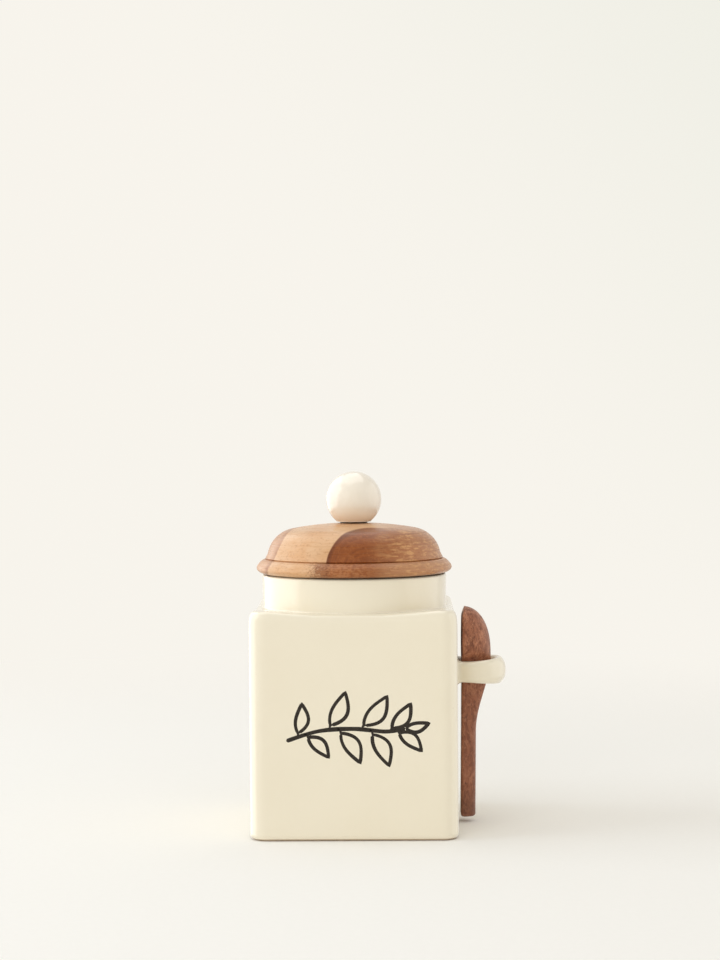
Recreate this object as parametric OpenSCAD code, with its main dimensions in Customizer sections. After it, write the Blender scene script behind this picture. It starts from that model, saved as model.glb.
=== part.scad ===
// Square stoneware salt jar with a round neck, a turned wooden lid with a ball
// knob, and a wooden spoon that hangs in a ring on the jar's right side.
// Millimetres. The origin is the middle of the foot, +Z is up, the front is -Y
// and the spoon is on the +X side.

/* [Jar body] */
// Outer width and depth of the square body
jar_w = 97; // [92:1:120]
// Height of the shoulder, where the neck starts
body_h = 104.5; // [100:0.5:130]
// Radius of the four upright corners
corner_r = 6; // [4.5:0.5:9]
// Rounding of the shoulder's edge along each side
shoulder_r = 4; // [2.5:0.5:4]
// Length of each side's edge that keeps the full height of the shoulder
shoulder_flat = 52; // [30:2:70]
// How much lower the shoulder is at its corners than along its sides
shoulder_drop = 0.4; // [0:0.2:6]
// Rounding of the edge under the body
foot_r = 2.5; // [1:0.5:4]
// Thickness of the body's walls and shoulder
wall = 4.6; // [3.6:0.2:6]
// Radius of the upright corners inside the body
inner_corner_r = 4; // [3.5:0.5:6]
// Rounding between the walls and the floor inside the body
inner_foot_r = 3; // [1:0.5:3]
// Thickness of the floor, over the recess
floor_t = 5; // [3:0.5:8]
// Width of the bare land that the jar stands on
land_w = 5; // [3:0.5:8]
// Depth of the recess inside the land
recess_h = 1.2; // [0.6:0.2:2]

/* [Neck] */
// How far the neck is set in from the body's sides
neck_inset = 4.3; // [4:0.1:8]
// Height of the neck above the shoulder
neck_h = 16; // [12:0.5:24]
// Thickness of the neck's wall
neck_wall = 4.6; // [3.6:0.2:6]
// Hollow rounding between the neck and the shoulder
neck_fillet = 1; // [0.5:0.1:2]
// Rounding of the neck's outer and inner rim
mouth_r = 1.2; // [0.6:0.2:1.6]

/* [Lid] */
// How far the lid's rim moulding stands out over the neck
lid_overhang = 2.9; // [2:0.1:4]
// Height of the rim moulding
moulding_h = 7.2; // [6.4:0.2:9]
// Width of the rim moulding, outside the dome
moulding_w = 4.2; // [3:0.1:6]
// Height of the lid above the mouth of the jar
lid_h = 24.3; // [21:0.1:28]
// Rise of the dome's crown above the round of its side
crown_h = 2.4; // [1.6:0.1:7]
// Width of the flat on top that shows round the knob
flat_edge = 0.4; // [0.2:0.1:2]
// Depth of the groove above the moulding
quirk = 0.8; // [0.4:0.1:1.2]
// Depth of the plug inside the neck
plug_h = 9; // [8:0.5:14]
// Gap between the plug and the neck
plug_gap = 2; // [1.5:0.1:3]

/* [Seal] */
// Height of the seal ring
seal_h = 4; // [3:0.2:6]
// How far the seal's inner edge goes into the plug
seal_grip = 1.9; // [1.2:0.1:3]
// Thickness of each lip of the seal
lip_t = 0.8; // [0.6:0.1:1]
// Gap between the seal's lips and the neck
seal_gap = 0.2; // [0.1:0.05:0.3]
// Running gap between the seal and its groove
groove_gap = 0.1; // [0.05:0.05:0.2]

/* [Knob] */
// Radius of the ball
knob_r = 13.4; // [11:0.2:16]
// Radius of the collar under the ball
collar_r = 8.4; // [7.5:0.1:8.6]
// Height of the collar
collar_h = 0.4; // [0.3:0.1:2]

/* [Knob fixing] */
// Nominal diameter of the screw
screw_d = 4; // [3:1:4]
// How far the screw reaches into the threaded insert
thread_in = 8.9; // [5:0.1:9.5]
// Radius of the screw's head
head_r = 4; // [3.4:0.1:4.5]
// Height of the screw's head
head_h = 2.8; // [2:0.2:3.2]
// Radius of the steel washer under the screw's head
washer_r = 4.6; // [4.6:0.1:5.4]
// Thickness of the steel washer
washer_t = 0.8; // [0.5:0.1:1.2]
// Radius of the soft washer under the knob
pad_r = 6.6; // [5:0.2:7.4]
// Thickness of the soft washer
pad_t = 0.5; // [0.4:0.1:1]
// Outer radius of the threaded insert in the knob
insert_r = 3.4; // [3:0.1:4]
// Length of the threaded insert
insert_len = 11; // [10:0.5:12]

/* [Spoon ring] */
// Radius of the hole through the ring
hole_r = 10; // [9.6:0.1:11]
// Thickness of the ring
ring_t = 5.2; // [4:0.2:7]
// Height of the ring
ring_h = 10; // [7:0.5:14]
// Height of the ring's underside above the floor
ring_z = 68.5; // [64:0.5:76]
// Gap between the spoon's back and the inside of the ring
back_gap = 1.6; // [0.5:0.1:3]

/* [Spoon] */
// Height of the spoon's lower end above the floor
end_gap = 2.5; // [0.5:0.1:20]
// Width of the bowl
bowl_w = 26; // [23:0.5:28]
// Greatest depth of the bowl, front to back
bowl_d = 14.6; // [13:0.2:15]
// Length of the bowl's round end, above its widest place
bowl_round = 15.5; // [12:0.5:16]
// Length of the flare from the handle to the bowl's widest place
flare_len = 20; // [16:0.5:22]
// Width of the handle
handle_w = 9.6; // [8:0.2:11]
// Thickness of the handle
handle_t = 7.2; // [5:0.2:8]
// Length of the slope from the bowl's back down to the handle
back_len = 37; // [30:1:44]
// Thickness of the wood round the hollow of the bowl
bowl_wall = 2.6; // [2:0.2:4]
// Depth of the hollow of the bowl
hollow_d = 9; // [6:0.5:11]
// Gap between the spoon's flat face and the jar's side
spoon_gap = 2.9; // [2.4:0.1:3.4]
// Gap left between the bowl and the ring that carries it
seat_gap = 0.3; // [0.2:0.05:0.4]

/* [Hidden] */

// Roundness of shells, of exact round parts and of small roundings
form_fn = 32;
round_fn = 96;
arc_steps = 8;
// Overlap of cutters with what they cut
over = 1;

half_w = jar_w / 2;
mouth_z = body_h + neck_h;
neck_r = half_w - neck_inset;
bore_r = neck_r - neck_wall;
inside_z = recess_h + floor_t;

lid_r = neck_r + lid_overhang;
dome_r = lid_r - moulding_w;
knuckle_r = lid_h - moulding_h - crown_h;
plug_r = bore_r - plug_gap;
groove_r = plug_r - seal_grip;
seal_mid_z = mouth_z - plug_h / 2;
seat_z = mouth_z + lid_h;
knob_foot_z = seat_z + pad_t;
knob_mid_z = knob_foot_z + collar_h + sqrt(pow(knob_r, 2) - pow(collar_r, 2));

// Clearance of the screw in the wood and washers, and of its thread in the insert
screw_gap = 0.3;
thread_gap = 0.05;
// Clearance of the insert in the knob, beside it and below it
glue_gap = 0.1;
insert_sink = 0.5;
// Clearance of the washer in its pocket in the plug
pocket_gap = 0.9;
screw_r = screw_d / 2;
pocket_r = washer_r + pocket_gap;
head_z = mouth_z - washer_t;
insert_z = knob_foot_z + insert_sink;
screw_end = insert_z + thread_in;

ring_x = half_w + spoon_gap + bowl_d + back_gap - hole_r;
ring_edge = ring_t / 2;

// The bowl's flare would touch the ring's rounded inner edge at this angle
seat_angle = 26;
ring_seat_r = hole_r + ring_edge * (1 - cos(seat_angle));
ring_seat_z = ring_z + ring_h - ring_edge * (1 - sin(seat_angle));
spoon_x = half_w + spoon_gap;
seat_half = sqrt(pow(ring_seat_r, 2) - pow(ring_x - spoon_x, 2)) - seat_gap;
// The flare has reached this share of its width, and of its length, at the seat
seat_share = (seat_half - handle_w / 2) / (bowl_w / 2 - handle_w / 2);
seat_turn = acos(1 - 2 * seat_share) / 180;
flare_z = ring_seat_z - seat_turn * flare_len;
bowl_z = flare_z + flare_len;
spoon_top = bowl_z + bowl_round;
// The spoon is deepest a little below its widest place
belly_z = bowl_z - 8;
slope_z = belly_z - back_len;

// Points of an arc about a centre, from one angle to another
function arc(c, r, from, to, n = arc_steps) =
    [for (i = [0 : n]) let (a = from + (to - from) * i / n) c + r * [cos(a), sin(a)]];

// Copies of the children at the four upright corners of a square form
module at_corners(half, r) {
    for (x = [-1, 1], y = [-1, 1])
        translate([x * (half - r), y * (half - r), 0]) children();
}

// A disc with a rounded lower edge
module round_foot(r, edge_r) {
    rotate_extrude($fn = form_fn)
        polygon(concat([[0, 0]], arc([r - edge_r, edge_r], edge_r, 270, 360), [[0, edge_r]]));
}

// The square form with round corners that the body and its inside both follow.
// Its shoulder is level along the sides and falls away a little at the corners.
module square_form(half, bottom, top, upright_r, top_r, bottom_r) {
    edge = half - top_r;
    hull() {
        for (a = [0 : 90 : 270], x = [-1, 1])
            rotate([0, 0, a])
                translate([x * shoulder_flat / 2, edge, top - top_r]) sphere(top_r, $fn = form_fn);
        at_corners(half, upright_r)
            translate([0, 0, top - shoulder_drop - upright_r]) sphere(upright_r, $fn = form_fn);
        at_corners(half, upright_r)
            translate([0, 0, bottom]) round_foot(upright_r, bottom_r);
    }
}

// A slab with round upright corners
module rounded_slab(half, r, h) {
    translate([-half, r - half, 0]) cube([2 * half, 2 * (half - r), h]);
    translate([r - half, -half, 0]) cube([2 * (half - r), 2 * half, h]);
    at_corners(half, r) cylinder(h = h, r = r, $fn = round_fn);
}

module neck() {
    rotate_extrude($fn = round_fn)
        polygon(concat(
            [[bore_r - over, body_h - wall], [neck_r + neck_fillet, body_h - shoulder_r / 2]],
            arc([neck_r + neck_fillet, body_h + neck_fillet], neck_fillet, 270, 180),
            arc([neck_r - mouth_r, mouth_z - mouth_r], mouth_r, 0, 90),
            arc([bore_r + mouth_r, mouth_z - mouth_r], mouth_r, 90, 180),
            [[bore_r, body_h], [bore_r - over, body_h]]
        ));
}

module jar() {
    color("ivory")
        difference() {
            union() {
                square_form(half_w, 0, body_h, corner_r, shoulder_r, foot_r);
                neck();
            }
            square_form(half_w - wall, inside_z, body_h - wall, inner_corner_r, shoulder_r, inner_foot_r);
            translate([0, 0, inside_z + inner_corner_r])
                cylinder(h = body_h, r = bore_r, $fn = round_fn);
            translate([0, 0, -over])
                rounded_slab(half_w - foot_r - land_w, corner_r, recess_h + over);
        }
}

// The ring is made apart and joined to the jar's flat side, which closes it
module spoon_ring() {
    color("ivory")
        difference() {
            translate([ring_x, 0, ring_z])
                rotate_extrude($fn = round_fn) {
                    translate([hole_r, ring_edge]) square([ring_t, ring_h - ring_t]);
                    for (z = [ring_edge, ring_h - ring_edge])
                        translate([hole_r + ring_edge, z]) circle(ring_edge, $fn = round_fn);
                }
            translate([0, -half_w, 0]) cube([half_w, jar_w, mouth_z]);
        }
}

// Outline of the lid, from the moulding's underside up and over to the flat.
// The dome leans in, turns over a round knuckle and ends in one wide arc.
module lid_outline() {
    low_r = 2.5;
    tip_h = 0.5;
    high_r = moulding_h - low_r - tip_h;
    high_end = 75;
    side_angle = 30;
    side_lean = 1;
    knuckle_mid = [dome_r - knuckle_r - side_lean, moulding_h];
    rise = lid_h - moulding_h;
    crown_r = (pow(rise, 2) + pow(knuckle_mid[0], 2) - pow(knuckle_r, 2)) / (2 * crown_h);
    crown_mid = lid_h - crown_r;
    crown_from = atan2(moulding_h - crown_mid, knuckle_mid[0]);
    crown_to = acos((collar_r + flat_edge) / crown_r);
    polygon(concat(
        [[0, 0]],
        arc([lid_r - low_r, low_r], low_r, 270, 360),
        arc([lid_r - high_r, low_r + tip_h], high_r, 0, high_end),
        [[dome_r, moulding_h - quirk / 2], [dome_r - quirk, moulding_h], [dome_r, moulding_h + quirk / 2]],
        arc(knuckle_mid, knuckle_r, side_angle, crown_from),
        arc([0, crown_mid], crown_r, crown_from, crown_to, 2 * arc_steps),
        [[0, lid_h - crown_r * (1 - sin(crown_to))]]
    ));
}

module lid() {
    color("peru")
        difference() {
            union() {
                translate([0, 0, mouth_z]) rotate_extrude($fn = round_fn) lid_outline();
                translate([0, 0, mouth_z - plug_h])
                    cylinder(h = plug_h + over, r = plug_r, $fn = round_fn);
            }
            translate([0, 0, seal_mid_z - seal_h / 2 - groove_gap])
                rotate_extrude($fn = round_fn)
                    translate([groove_r, 0]) square([seal_grip + over, seal_h + 2 * groove_gap]);
            translate([0, 0, mouth_z - plug_h - over])
                cylinder(h = plug_h + over, r = pocket_r, $fn = round_fn);
            translate([0, 0, mouth_z - over])
                cylinder(h = lid_h + 2 * over, r = screw_r + screw_gap, $fn = round_fn);
        }
}

// A soft ring with two lips that press on the neck
module lid_seal() {
    inner = groove_r + groove_gap;
    web_out = 0.4;
    web = plug_r + web_out - inner;
    color("whitesmoke")
        translate([0, 0, seal_mid_z - seal_h / 2])
            rotate_extrude($fn = round_fn) {
                translate([inner, 0]) square([web, seal_h]);
                for (z = [0, seal_h - lip_t])
                    translate([inner, z]) square([bore_r - seal_gap - inner, lip_t]);
            }
}

module knob() {
    color("ivory")
        difference() {
            union() {
                translate([0, 0, knob_mid_z]) sphere(knob_r, $fn = round_fn);
                translate([0, 0, knob_foot_z])
                    cylinder(h = 2 * collar_h, r = collar_r, $fn = round_fn);
            }
            translate([0, 0, knob_foot_z - 2 * knob_r])
                cylinder(h = 2 * knob_r, r = 2 * knob_r, $fn = round_fn);
            translate([0, 0, knob_foot_z - over])
                cylinder(h = insert_z - knob_foot_z + insert_len + 2 * over,
                         r = insert_r + glue_gap, $fn = round_fn);
        }
}

module knob_insert() {
    color("goldenrod")
        translate([0, 0, insert_z])
            difference() {
                cylinder(h = insert_len, r = insert_r, $fn = round_fn);
                translate([0, 0, -over])
                    cylinder(h = insert_len + 2 * over, r = screw_r + thread_gap, $fn = round_fn);
            }
}

module flat_washer(z, t, r) {
    translate([0, 0, z])
        difference() {
            cylinder(h = t, r = r, $fn = round_fn);
            translate([0, 0, -over])
                cylinder(h = t + 2 * over, r = screw_r + screw_gap, $fn = round_fn);
        }
}

module knob_pad() {
    color("dimgray") flat_washer(seat_z, pad_t, pad_r);
}

module screw_washer() {
    color("silver") flat_washer(mouth_z - washer_t, washer_t, washer_r);
}

// A pan-head screw, driven from below, with a cross in its head
module knob_screw() {
    cross_w = 0.9;
    color("lightgray")
        difference() {
            union() {
                translate([0, 0, head_z])
                    cylinder(h = screw_end - head_z, r = screw_r, $fn = round_fn);
                translate([0, 0, head_z - head_h]) cylinder(h = head_h, r = head_r, $fn = round_fn);
            }
            for (a = [0, 90])
                translate([0, 0, head_z - head_h])
                    rotate([0, 0, a]) cube([head_r, cross_w, head_h], center = true);
        }
}

// Half the spoon's width at a height
function spoon_half(z) =
    z > bowl_z ? bowl_w / 2 * sqrt(1 - pow((z - bowl_z) / bowl_round, 2))
    : z < flare_z ? handle_w / 2
    : handle_w / 2 + (bowl_w - handle_w) / 4 * (1 - cos(180 * (z - flare_z) / flare_len));

// The spoon's depth behind its flat face at a height: a blunt nose above the
// belly, and one long slope from the belly down to the handle
function spoon_depth(z) =
    z > belly_z ? bowl_d * pow(1 - pow((z - belly_z) / (spoon_top - belly_z), 2.2), 0.4)
    : z < slope_z ? handle_t
    : handle_t + (bowl_d - handle_t) / 2 * (1 + cos(180 * (belly_z - z) / back_len));

// One level of the spoon: a straight face towards the jar and a round back
function spoon_level(z, sides) =
    [for (i = [0 : sides]) let (a = 180 * i / sides - 90)
        [spoon_x + spoon_depth(z) * cos(a), spoon_half(z) * sin(a), z]];

module spoon_form() {
    sides = 20;
    slope_steps = 24;
    nose_steps = 12;
    // The last level stops just short of the tip, where a small flat closes it
    nose_end = 88;
    levels = concat(
        [end_gap],
        [for (i = [0 : slope_steps]) slope_z + (bowl_z - slope_z) * i / slope_steps],
        [for (i = [1 : nose_steps]) bowl_z + bowl_round * sin(nose_end * i / nose_steps)]
    );
    last = len(levels) - 1;
    row = sides + 1;
    polyhedron(
        points = [for (z = levels) each spoon_level(z, sides)],
        faces = concat(
            [[for (i = [0 : sides]) i]],
            [[for (i = [sides : -1 : 0]) last * row + i]],
            [for (k = [0 : last - 1], i = [0 : sides]) let (j = (i + 1) % row)
                [k * row + i, (k + 1) * row + i, (k + 1) * row + j, k * row + j]]
        )
    );
}

module spoon() {
    color("saddlebrown")
        difference() {
            spoon_form();
            translate([spoon_x, 0, bowl_z])
                resize([2 * hollow_d, bowl_w - 2 * bowl_wall, 2 * (bowl_round - bowl_wall)])
                    sphere(bowl_w / 2, $fn = 40);
        }
}

jar();
spoon_ring();
lid();
lid_seal();
knob();
knob_insert();
knob_pad();
knob_screw();
screw_washer();
spoon();
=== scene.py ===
"""Looks of a square stoneware salt jar: its glaze, the turned lid with its ball
knob, the spoon in its ring, and the pale studio round them. All lengths are in
metres, up is Z, and the spoon is on the +X side."""

from math import acos, asin, atan2, ceil, cos, degrees, hypot, pi, radians, sin, sqrt, tan

import bmesh
import bpy
from bpy.props import FloatProperty, FloatVectorProperty, PointerProperty
from bpy.types import Operator, Panel, PropertyGroup
from mathutils import Matrix, Vector, noise


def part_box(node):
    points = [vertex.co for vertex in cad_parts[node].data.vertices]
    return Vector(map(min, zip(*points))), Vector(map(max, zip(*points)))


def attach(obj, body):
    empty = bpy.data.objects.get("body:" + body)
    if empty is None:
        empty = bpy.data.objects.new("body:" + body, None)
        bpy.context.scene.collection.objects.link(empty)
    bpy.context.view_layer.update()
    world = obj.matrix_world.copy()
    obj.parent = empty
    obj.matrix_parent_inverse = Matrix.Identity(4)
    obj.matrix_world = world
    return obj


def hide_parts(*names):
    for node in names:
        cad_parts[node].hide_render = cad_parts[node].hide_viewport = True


bl_info = {
    "name": "Salt Jar",
    "version": (1, 0, 0),
    "blender": (4, 5, 0),
    "location": "View3D > Sidebar > Salt Jar",
    "description": "Makes a glazed salt jar with a turned lid and a wooden spoon",
    "category": "Add Mesh",
}

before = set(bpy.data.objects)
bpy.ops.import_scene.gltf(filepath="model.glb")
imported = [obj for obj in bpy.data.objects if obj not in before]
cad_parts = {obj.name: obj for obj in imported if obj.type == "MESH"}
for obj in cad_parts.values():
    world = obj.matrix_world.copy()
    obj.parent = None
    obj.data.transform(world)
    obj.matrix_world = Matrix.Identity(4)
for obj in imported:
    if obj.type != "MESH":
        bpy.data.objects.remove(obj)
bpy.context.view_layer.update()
MM = 0.001
# How far the looks stay inside the model's box
HAIR = 0.1 * MM

JAR_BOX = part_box("jar")
RING_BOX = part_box("spoon_ring")
LID_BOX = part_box("lid")
SEAL_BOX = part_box("lid_seal")
KNOB_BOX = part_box("knob")
PAD_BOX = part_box("knob_pad")
INSERT_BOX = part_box("knob_insert")
SCREW_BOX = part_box("knob_screw")
WASHER_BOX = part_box("screw_washer")
SPOON_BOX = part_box("spoon")


def length(name, value, description):
    """A length that the user may change"""
    return FloatProperty(name=name, description=description, default=round(value, 6),
                         min=0.0, soft_max=0.3, precision=5, unit="LENGTH")


def shade(name, colour, description):
    """A colour that the user may change"""
    return FloatVectorProperty(name=name, description=description, default=colour,
                               size=3, min=0.0, max=1.0, subtype="COLOR")


# Sizes and colours


class JarSizes(PropertyGroup):
    """The glazed jar"""
    width: length("Body width", 2 * JAR_BOX[1].x, "Width of the square body")
    top: length("Shoulder height", 0.1045, "Height of the shoulder at the neck")
    mouth: length("Mouth height", JAR_BOX[1].z, "Height of the neck's rim")
    corner: length("Corner radius", 0.0075, "Radius of the upright corners")
    foot: length("Foot radius", 0.0025, "Rounding under the body")
    wall: length("Wall", 0.0046, "Thickness of the walls and the neck")
    floor: length("Floor height", 0.0062, "Height of the floor inside")
    land: length("Land width", 0.005, "Width of the bare land")
    recess: length("Recess depth", 0.0012, "Depth of the recess inside the land")
    neck: length("Neck radius", 0.0442, "Outer radius of the neck")
    edge_rise: length("Shoulder edge", 0.0050, "Height of the shoulder's rounding, mid-side")
    edge_width: length("Edge width", 0.0048, "Width of that rounding")
    side_fall: length("Shoulder fall", 0.0038, "How much lower that rounding starts near the corners")
    corner_fall: length("Corner fall", 0.0008, "Further fall of its start at the very corners")
    corner_rise: length("Corner rise", 0.0016, "Rise of the shoulder towards the corners")
    waver: length("Waver", 0.00012, "Depth of the hand-made unevenness of the walls")
    fillet: length("Neck fillet", 0.001, "Hollow rounding where the neck leaves the shoulder")
    flare: length("Neck flare", 0.00025, "How much wider the neck is at its mouth")
    lip: length("Lip radius", 0.0012, "Rounding of the neck's rim")
    inner_corner: length("Inner corner", 0.004, "Radius of the corners inside")
    inner_foot: length("Inner foot", 0.003, "Rounding between the walls and the floor inside")
    under_fall: length("Under shoulder", 0.0045, "Fall of the inside from the bore to the walls")


class RingSizes(PropertyGroup):
    """The ring that holds the spoon"""
    reach: length("Reach", RING_BOX[1].x, "Farthest point of the ring from the neck's axis")
    outside: length("Outer radius", 0.0152, "Outer radius of the ring")
    thick: length("Thickness", 0.0052, "Thickness of the ring")
    bottom: length("Underside", RING_BOX[0].z, "Height of the ring's underside")
    height: length("Height", RING_BOX[1].z - RING_BOX[0].z, "Height of the ring")
    edge: length("Edge radius", 0.0025, "Rounding of the ring's edges")
    fillet: length("Fillet", 0.0034, "Hollow rounding where the ring meets the wall")
    swell: FloatProperty(name="Swell", description="How much taller the ring is at its far end",
                         default=0.26, min=0.0, soft_max=0.5)
    bulge: length("Bulge", 0.0019, "How far the far end's outer face rounds out")


class LidSizes(PropertyGroup):
    """The turned lid and its seal"""
    radius: length("Lid radius", LID_BOX[1].x, "Radius over the rim moulding")
    bottom: length("Underside", JAR_BOX[1].z, "Height of the face that rests on the jar")
    seat: length("Seat", PAD_BOX[0].z, "Height of the flat under the knob")
    moulding: length("Moulding height", 0.0072, "Height of the rim moulding")
    dome: length("Dome radius", 0.0429, "Radius of the dome above the moulding")
    crown: length("Crown", 0.0024, "Rise of the crown above the round of its side")
    lean: length("Lean", 0.001, "How far the dome's side leans in from its foot")
    tip: length("Moulding tip", 0.003, "Height of the moulding's widest place")
    under: length("Moulding underside", 0.0058, "Width of the moulding's round underside")
    flat: length("Flat radius", 0.0088, "Radius of the flat on top")
    quirk: length("Groove depth", 0.0008, "Depth of the groove above the moulding")
    plug: length("Plug radius", 0.0376, "Radius of the plug in the neck")
    plug_end: length("Plug end", LID_BOX[0].z, "Height of the plug's lower face")
    groove: length("Seal groove", 0.0357, "Radius at the bottom of the seal's groove")
    pocket: length("Pocket radius", 0.0055, "Radius of the pocket for the screw")
    bore: length("Screw hole", 0.0023, "Radius of the hole for the screw")


class KnobSizes(PropertyGroup):
    """The ball knob and what holds it"""
    ball: length("Ball radius", KNOB_BOX[1].x, "Radius of the ball")
    top: length("Top", KNOB_BOX[1].z, "Height of the knob's top")
    foot: length("Foot", KNOB_BOX[0].z, "Height of the knob's flat foot")
    socket: length("Socket radius", 0.0035, "Radius of the hole for the insert")
    socket_end: length("Socket end", 0.1578, "Height of the end of that hole")
    pitch: length("Thread pitch", 0.0007, "Pitch of the screw's thread")


class SpoonSizes(PropertyGroup):
    """The carved spoon"""
    face: length("Face", SPOON_BOX[0].x + HAIR, "Place of the flat face")
    bottom: length("Lower end", SPOON_BOX[0].z + HAIR, "Height of the handle's end")
    top: length("Upper end", 0.10414, "Height of the bowl's tip")
    bowl_mid: length("Bowl middle", 0.08864, "Height of the bowl's widest place")
    bowl_width: length("Bowl width", 0.026, "Width of the bowl")
    bowl_depth: length("Bowl depth", 0.0141, "Greatest depth, front to back")
    flare: length("Flare", 0.020, "Length of the flare below the widest place")
    handle_width: length("Handle width", 0.0096, "Width of the handle")
    handle_thick: length("Handle thickness", 0.0072, "Thickness of the handle")
    back: length("Back slope", 0.037, "Length of the slope from the belly to the handle")
    rim: length("Bowl rim", 0.0026, "Width of the rim round the hollow")
    hollow: length("Hollow", 0.009, "Depth of the hollow")
    belly: length("Belly", 0.008, "How far below the widest place the bowl is deepest")
    slant: length("Tip slant", 0.0013, "How far the flat face slants back at the tip")
    edge: length("Edge radius", 0.001, "Rounding of the carved edges")
    lean: FloatProperty(name="Lean", description="How far the foot leans to the jar",
                        default=radians(0.7), soft_max=radians(3), subtype="ANGLE")


class Colours(PropertyGroup):
    """The colours of clay, wood, metal and rubber"""
    glaze: shade("Glaze", (0.882, 0.807, 0.64), "Cream glaze")
    glaze_thin: shade("Thin glaze", (0.825, 0.74, 0.555), "Glaze where it runs thin")
    glaze_speck: shade("Speck", (0.45, 0.34, 0.20), "Iron specks in the glaze")
    # Bare clay, partly painted shade: toned darker than the clay alone to darken the line at the jar's
    # foot
    clay: shade("Bare clay", (0.50, 0.385, 0.27), "Unglazed stoneware")
    ink: shade("Ink", (0.018, 0.012, 0.007), "Underglaze brush lines")
    sapwood: shade("Sapwood", (0.72, 0.45, 0.252), "Pale wood of the lid")
    midwood: shade("Middle wood", (0.45, 0.19, 0.078), "Brown wood at the lid's right")
    heartwood: shade("Heartwood", (0.225, 0.058, 0.010), "Dark wood of the lid")
    spoon: shade("Spoon wood", (0.375, 0.138, 0.068), "Wood of the spoon")
    spoon_dark: shade("Spoon grain", (0.185, 0.058, 0.026), "Dark grain of the spoon")
    silicone: shade("Silicone", (0.82, 0.82, 0.78), "Seal")
    rubber: shade("Rubber", (0.085, 0.055, 0.04), "Washer under the knob")
    brass: shade("Brass", (0.72, 0.50, 0.22), "Threaded insert")
    steel: shade("Steel", (0.62, 0.62, 0.60), "Screw and washer")


class StudioSettings(PropertyGroup):
    """The studio"""
    backdrop: shade("Backdrop", (0.935, 0.905, 0.84), "Colour of the paper behind the jar")
    # Painted shade: the darker tone that the backdrop takes high up at the right
    far_backdrop_shade: shade("Far backdrop", (0.865, 0.86, 0.785), "Colour of that paper high up at the right")
    paper: shade("Paper", (0.965, 0.948, 0.905), "Colour of the paper under the jar")
    ambient: FloatProperty(name="Room light", description="Strength of the light all round",
                           default=0.80, min=0.0, soft_max=2.0)
    key_power: FloatProperty(name="Window light", description="Power of the lamp at the left",
                             default=10.8, min=0.0, soft_max=100.0, unit="POWER")
    fill_power: FloatProperty(name="Fill light", description="Power of the lamp beside the camera",
                              default=5.6, min=0.0, soft_max=100.0, unit="POWER")
    card_power: FloatProperty(name="Card light", description="Brightness of the cards seen in gloss",
                              default=18.5, min=0.0, soft_max=200.0, unit="POWER")
    lens: FloatProperty(name="Lens", description="Focal length in millimetres",
                        default=75.0, min=10.0, soft_max=200.0)


class SaltJarSettings(PropertyGroup):
    """All that a user may change on the salt jar"""
    jar: PointerProperty(type=JarSizes, name="Jar", description="Sizes of the jar")
    ring: PointerProperty(type=RingSizes, name="Ring", description="Sizes of the ring")
    lid: PointerProperty(type=LidSizes, name="Lid", description="Sizes of the lid")
    knob: PointerProperty(type=KnobSizes, name="Knob", description="Sizes of the knob")
    spoon: PointerProperty(type=SpoonSizes, name="Spoon", description="Sizes of the spoon")
    colours: PointerProperty(type=Colours, name="Colours", description="Colours")
    studio: PointerProperty(type=StudioSettings, name="Studio", description="Light and camera")


# Making meshes


def add_piece(name, points, faces, body, finishes, stands_for, face_finish=None,
              sharp=40.0):
    """Makes a smooth-shaded piece that moves with a body and stands for a CAD node"""
    mesh = bpy.data.meshes.new(name)
    mesh.from_pydata([Vector(p) for p in points], [], faces)
    for finish in finishes:
        mesh.materials.append(finish)
    if face_finish:
        mesh.polygons.foreach_set("material_index", face_finish)
    form = bmesh.new()
    form.from_mesh(mesh)
    bmesh.ops.remove_doubles(form, verts=form.verts, dist=1e-7)
    bmesh.ops.recalc_face_normals(form, faces=form.faces)
    form.to_mesh(mesh)
    form.free()
    mesh.shade_smooth()
    mesh.set_sharp_from_angle(angle=radians(sharp))
    piece = bpy.data.objects.new(name, mesh)
    bpy.context.scene.collection.objects.link(piece)
    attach(piece, body)
    if stands_for:
        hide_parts(stands_for)
    return piece


def arc(mid, r, start, end, steps):
    """Points of an arc in an outline of (radius, height), between angles in degrees"""
    turn = [radians(start + (end - start) * i / steps) for i in range(steps + 1)]
    return [(mid[0] + r * cos(a), mid[1] + r * sin(a)) for a in turn]


def blend(low, high, x):
    """0 below low, 1 above high, and a smooth step between them"""
    t = min(max((x - low) / (high - low), 0.0), 1.0)
    return t * t * (3 - 2 * t)


def polar(reach, turn, z):
    """A point at a distance from the upright axis, in a direction round it"""
    return (reach * cos(turn), reach * sin(turn), z)


def even_turns(steps):
    """Directions spaced evenly round the axis"""
    return [2 * pi * k / steps for k in range(steps)]


def round_ring(r, turns, z):
    """One level of a round form"""
    return [polar(r, t, z) for t in turns]


def turned(outline, steps):
    """Turns an outline round the upright axis. A closed outline starts and ends off
    the axis; one that starts and ends on the axis closes there by itself"""
    turns = even_turns(steps)
    points = [polar(r, t, z) for r, z in outline for t in turns]
    faces = []
    on_axis = outline[0][0] == 0
    rows = len(outline)
    for i in range(rows - 1 if on_axis else rows):
        j = (i + 1) % rows
        for k in range(steps):
            m = (k + 1) % steps
            faces.append((i * steps + k, i * steps + m, j * steps + m, j * steps + k))
    return points, faces


def skin(rings):
    """Faces over a stack of rings with as many points each, and the points in one list"""
    count = len(rings[0])
    points = [p for ring in rings for p in ring]
    faces = []
    for i in range(len(rings) - 1):
        for k in range(count):
            m = (k + 1) % count
            faces.append((i * count + k, i * count + m, (i + 1) * count + m, (i + 1) * count + k))
    return points, faces


# Node materials


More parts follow.
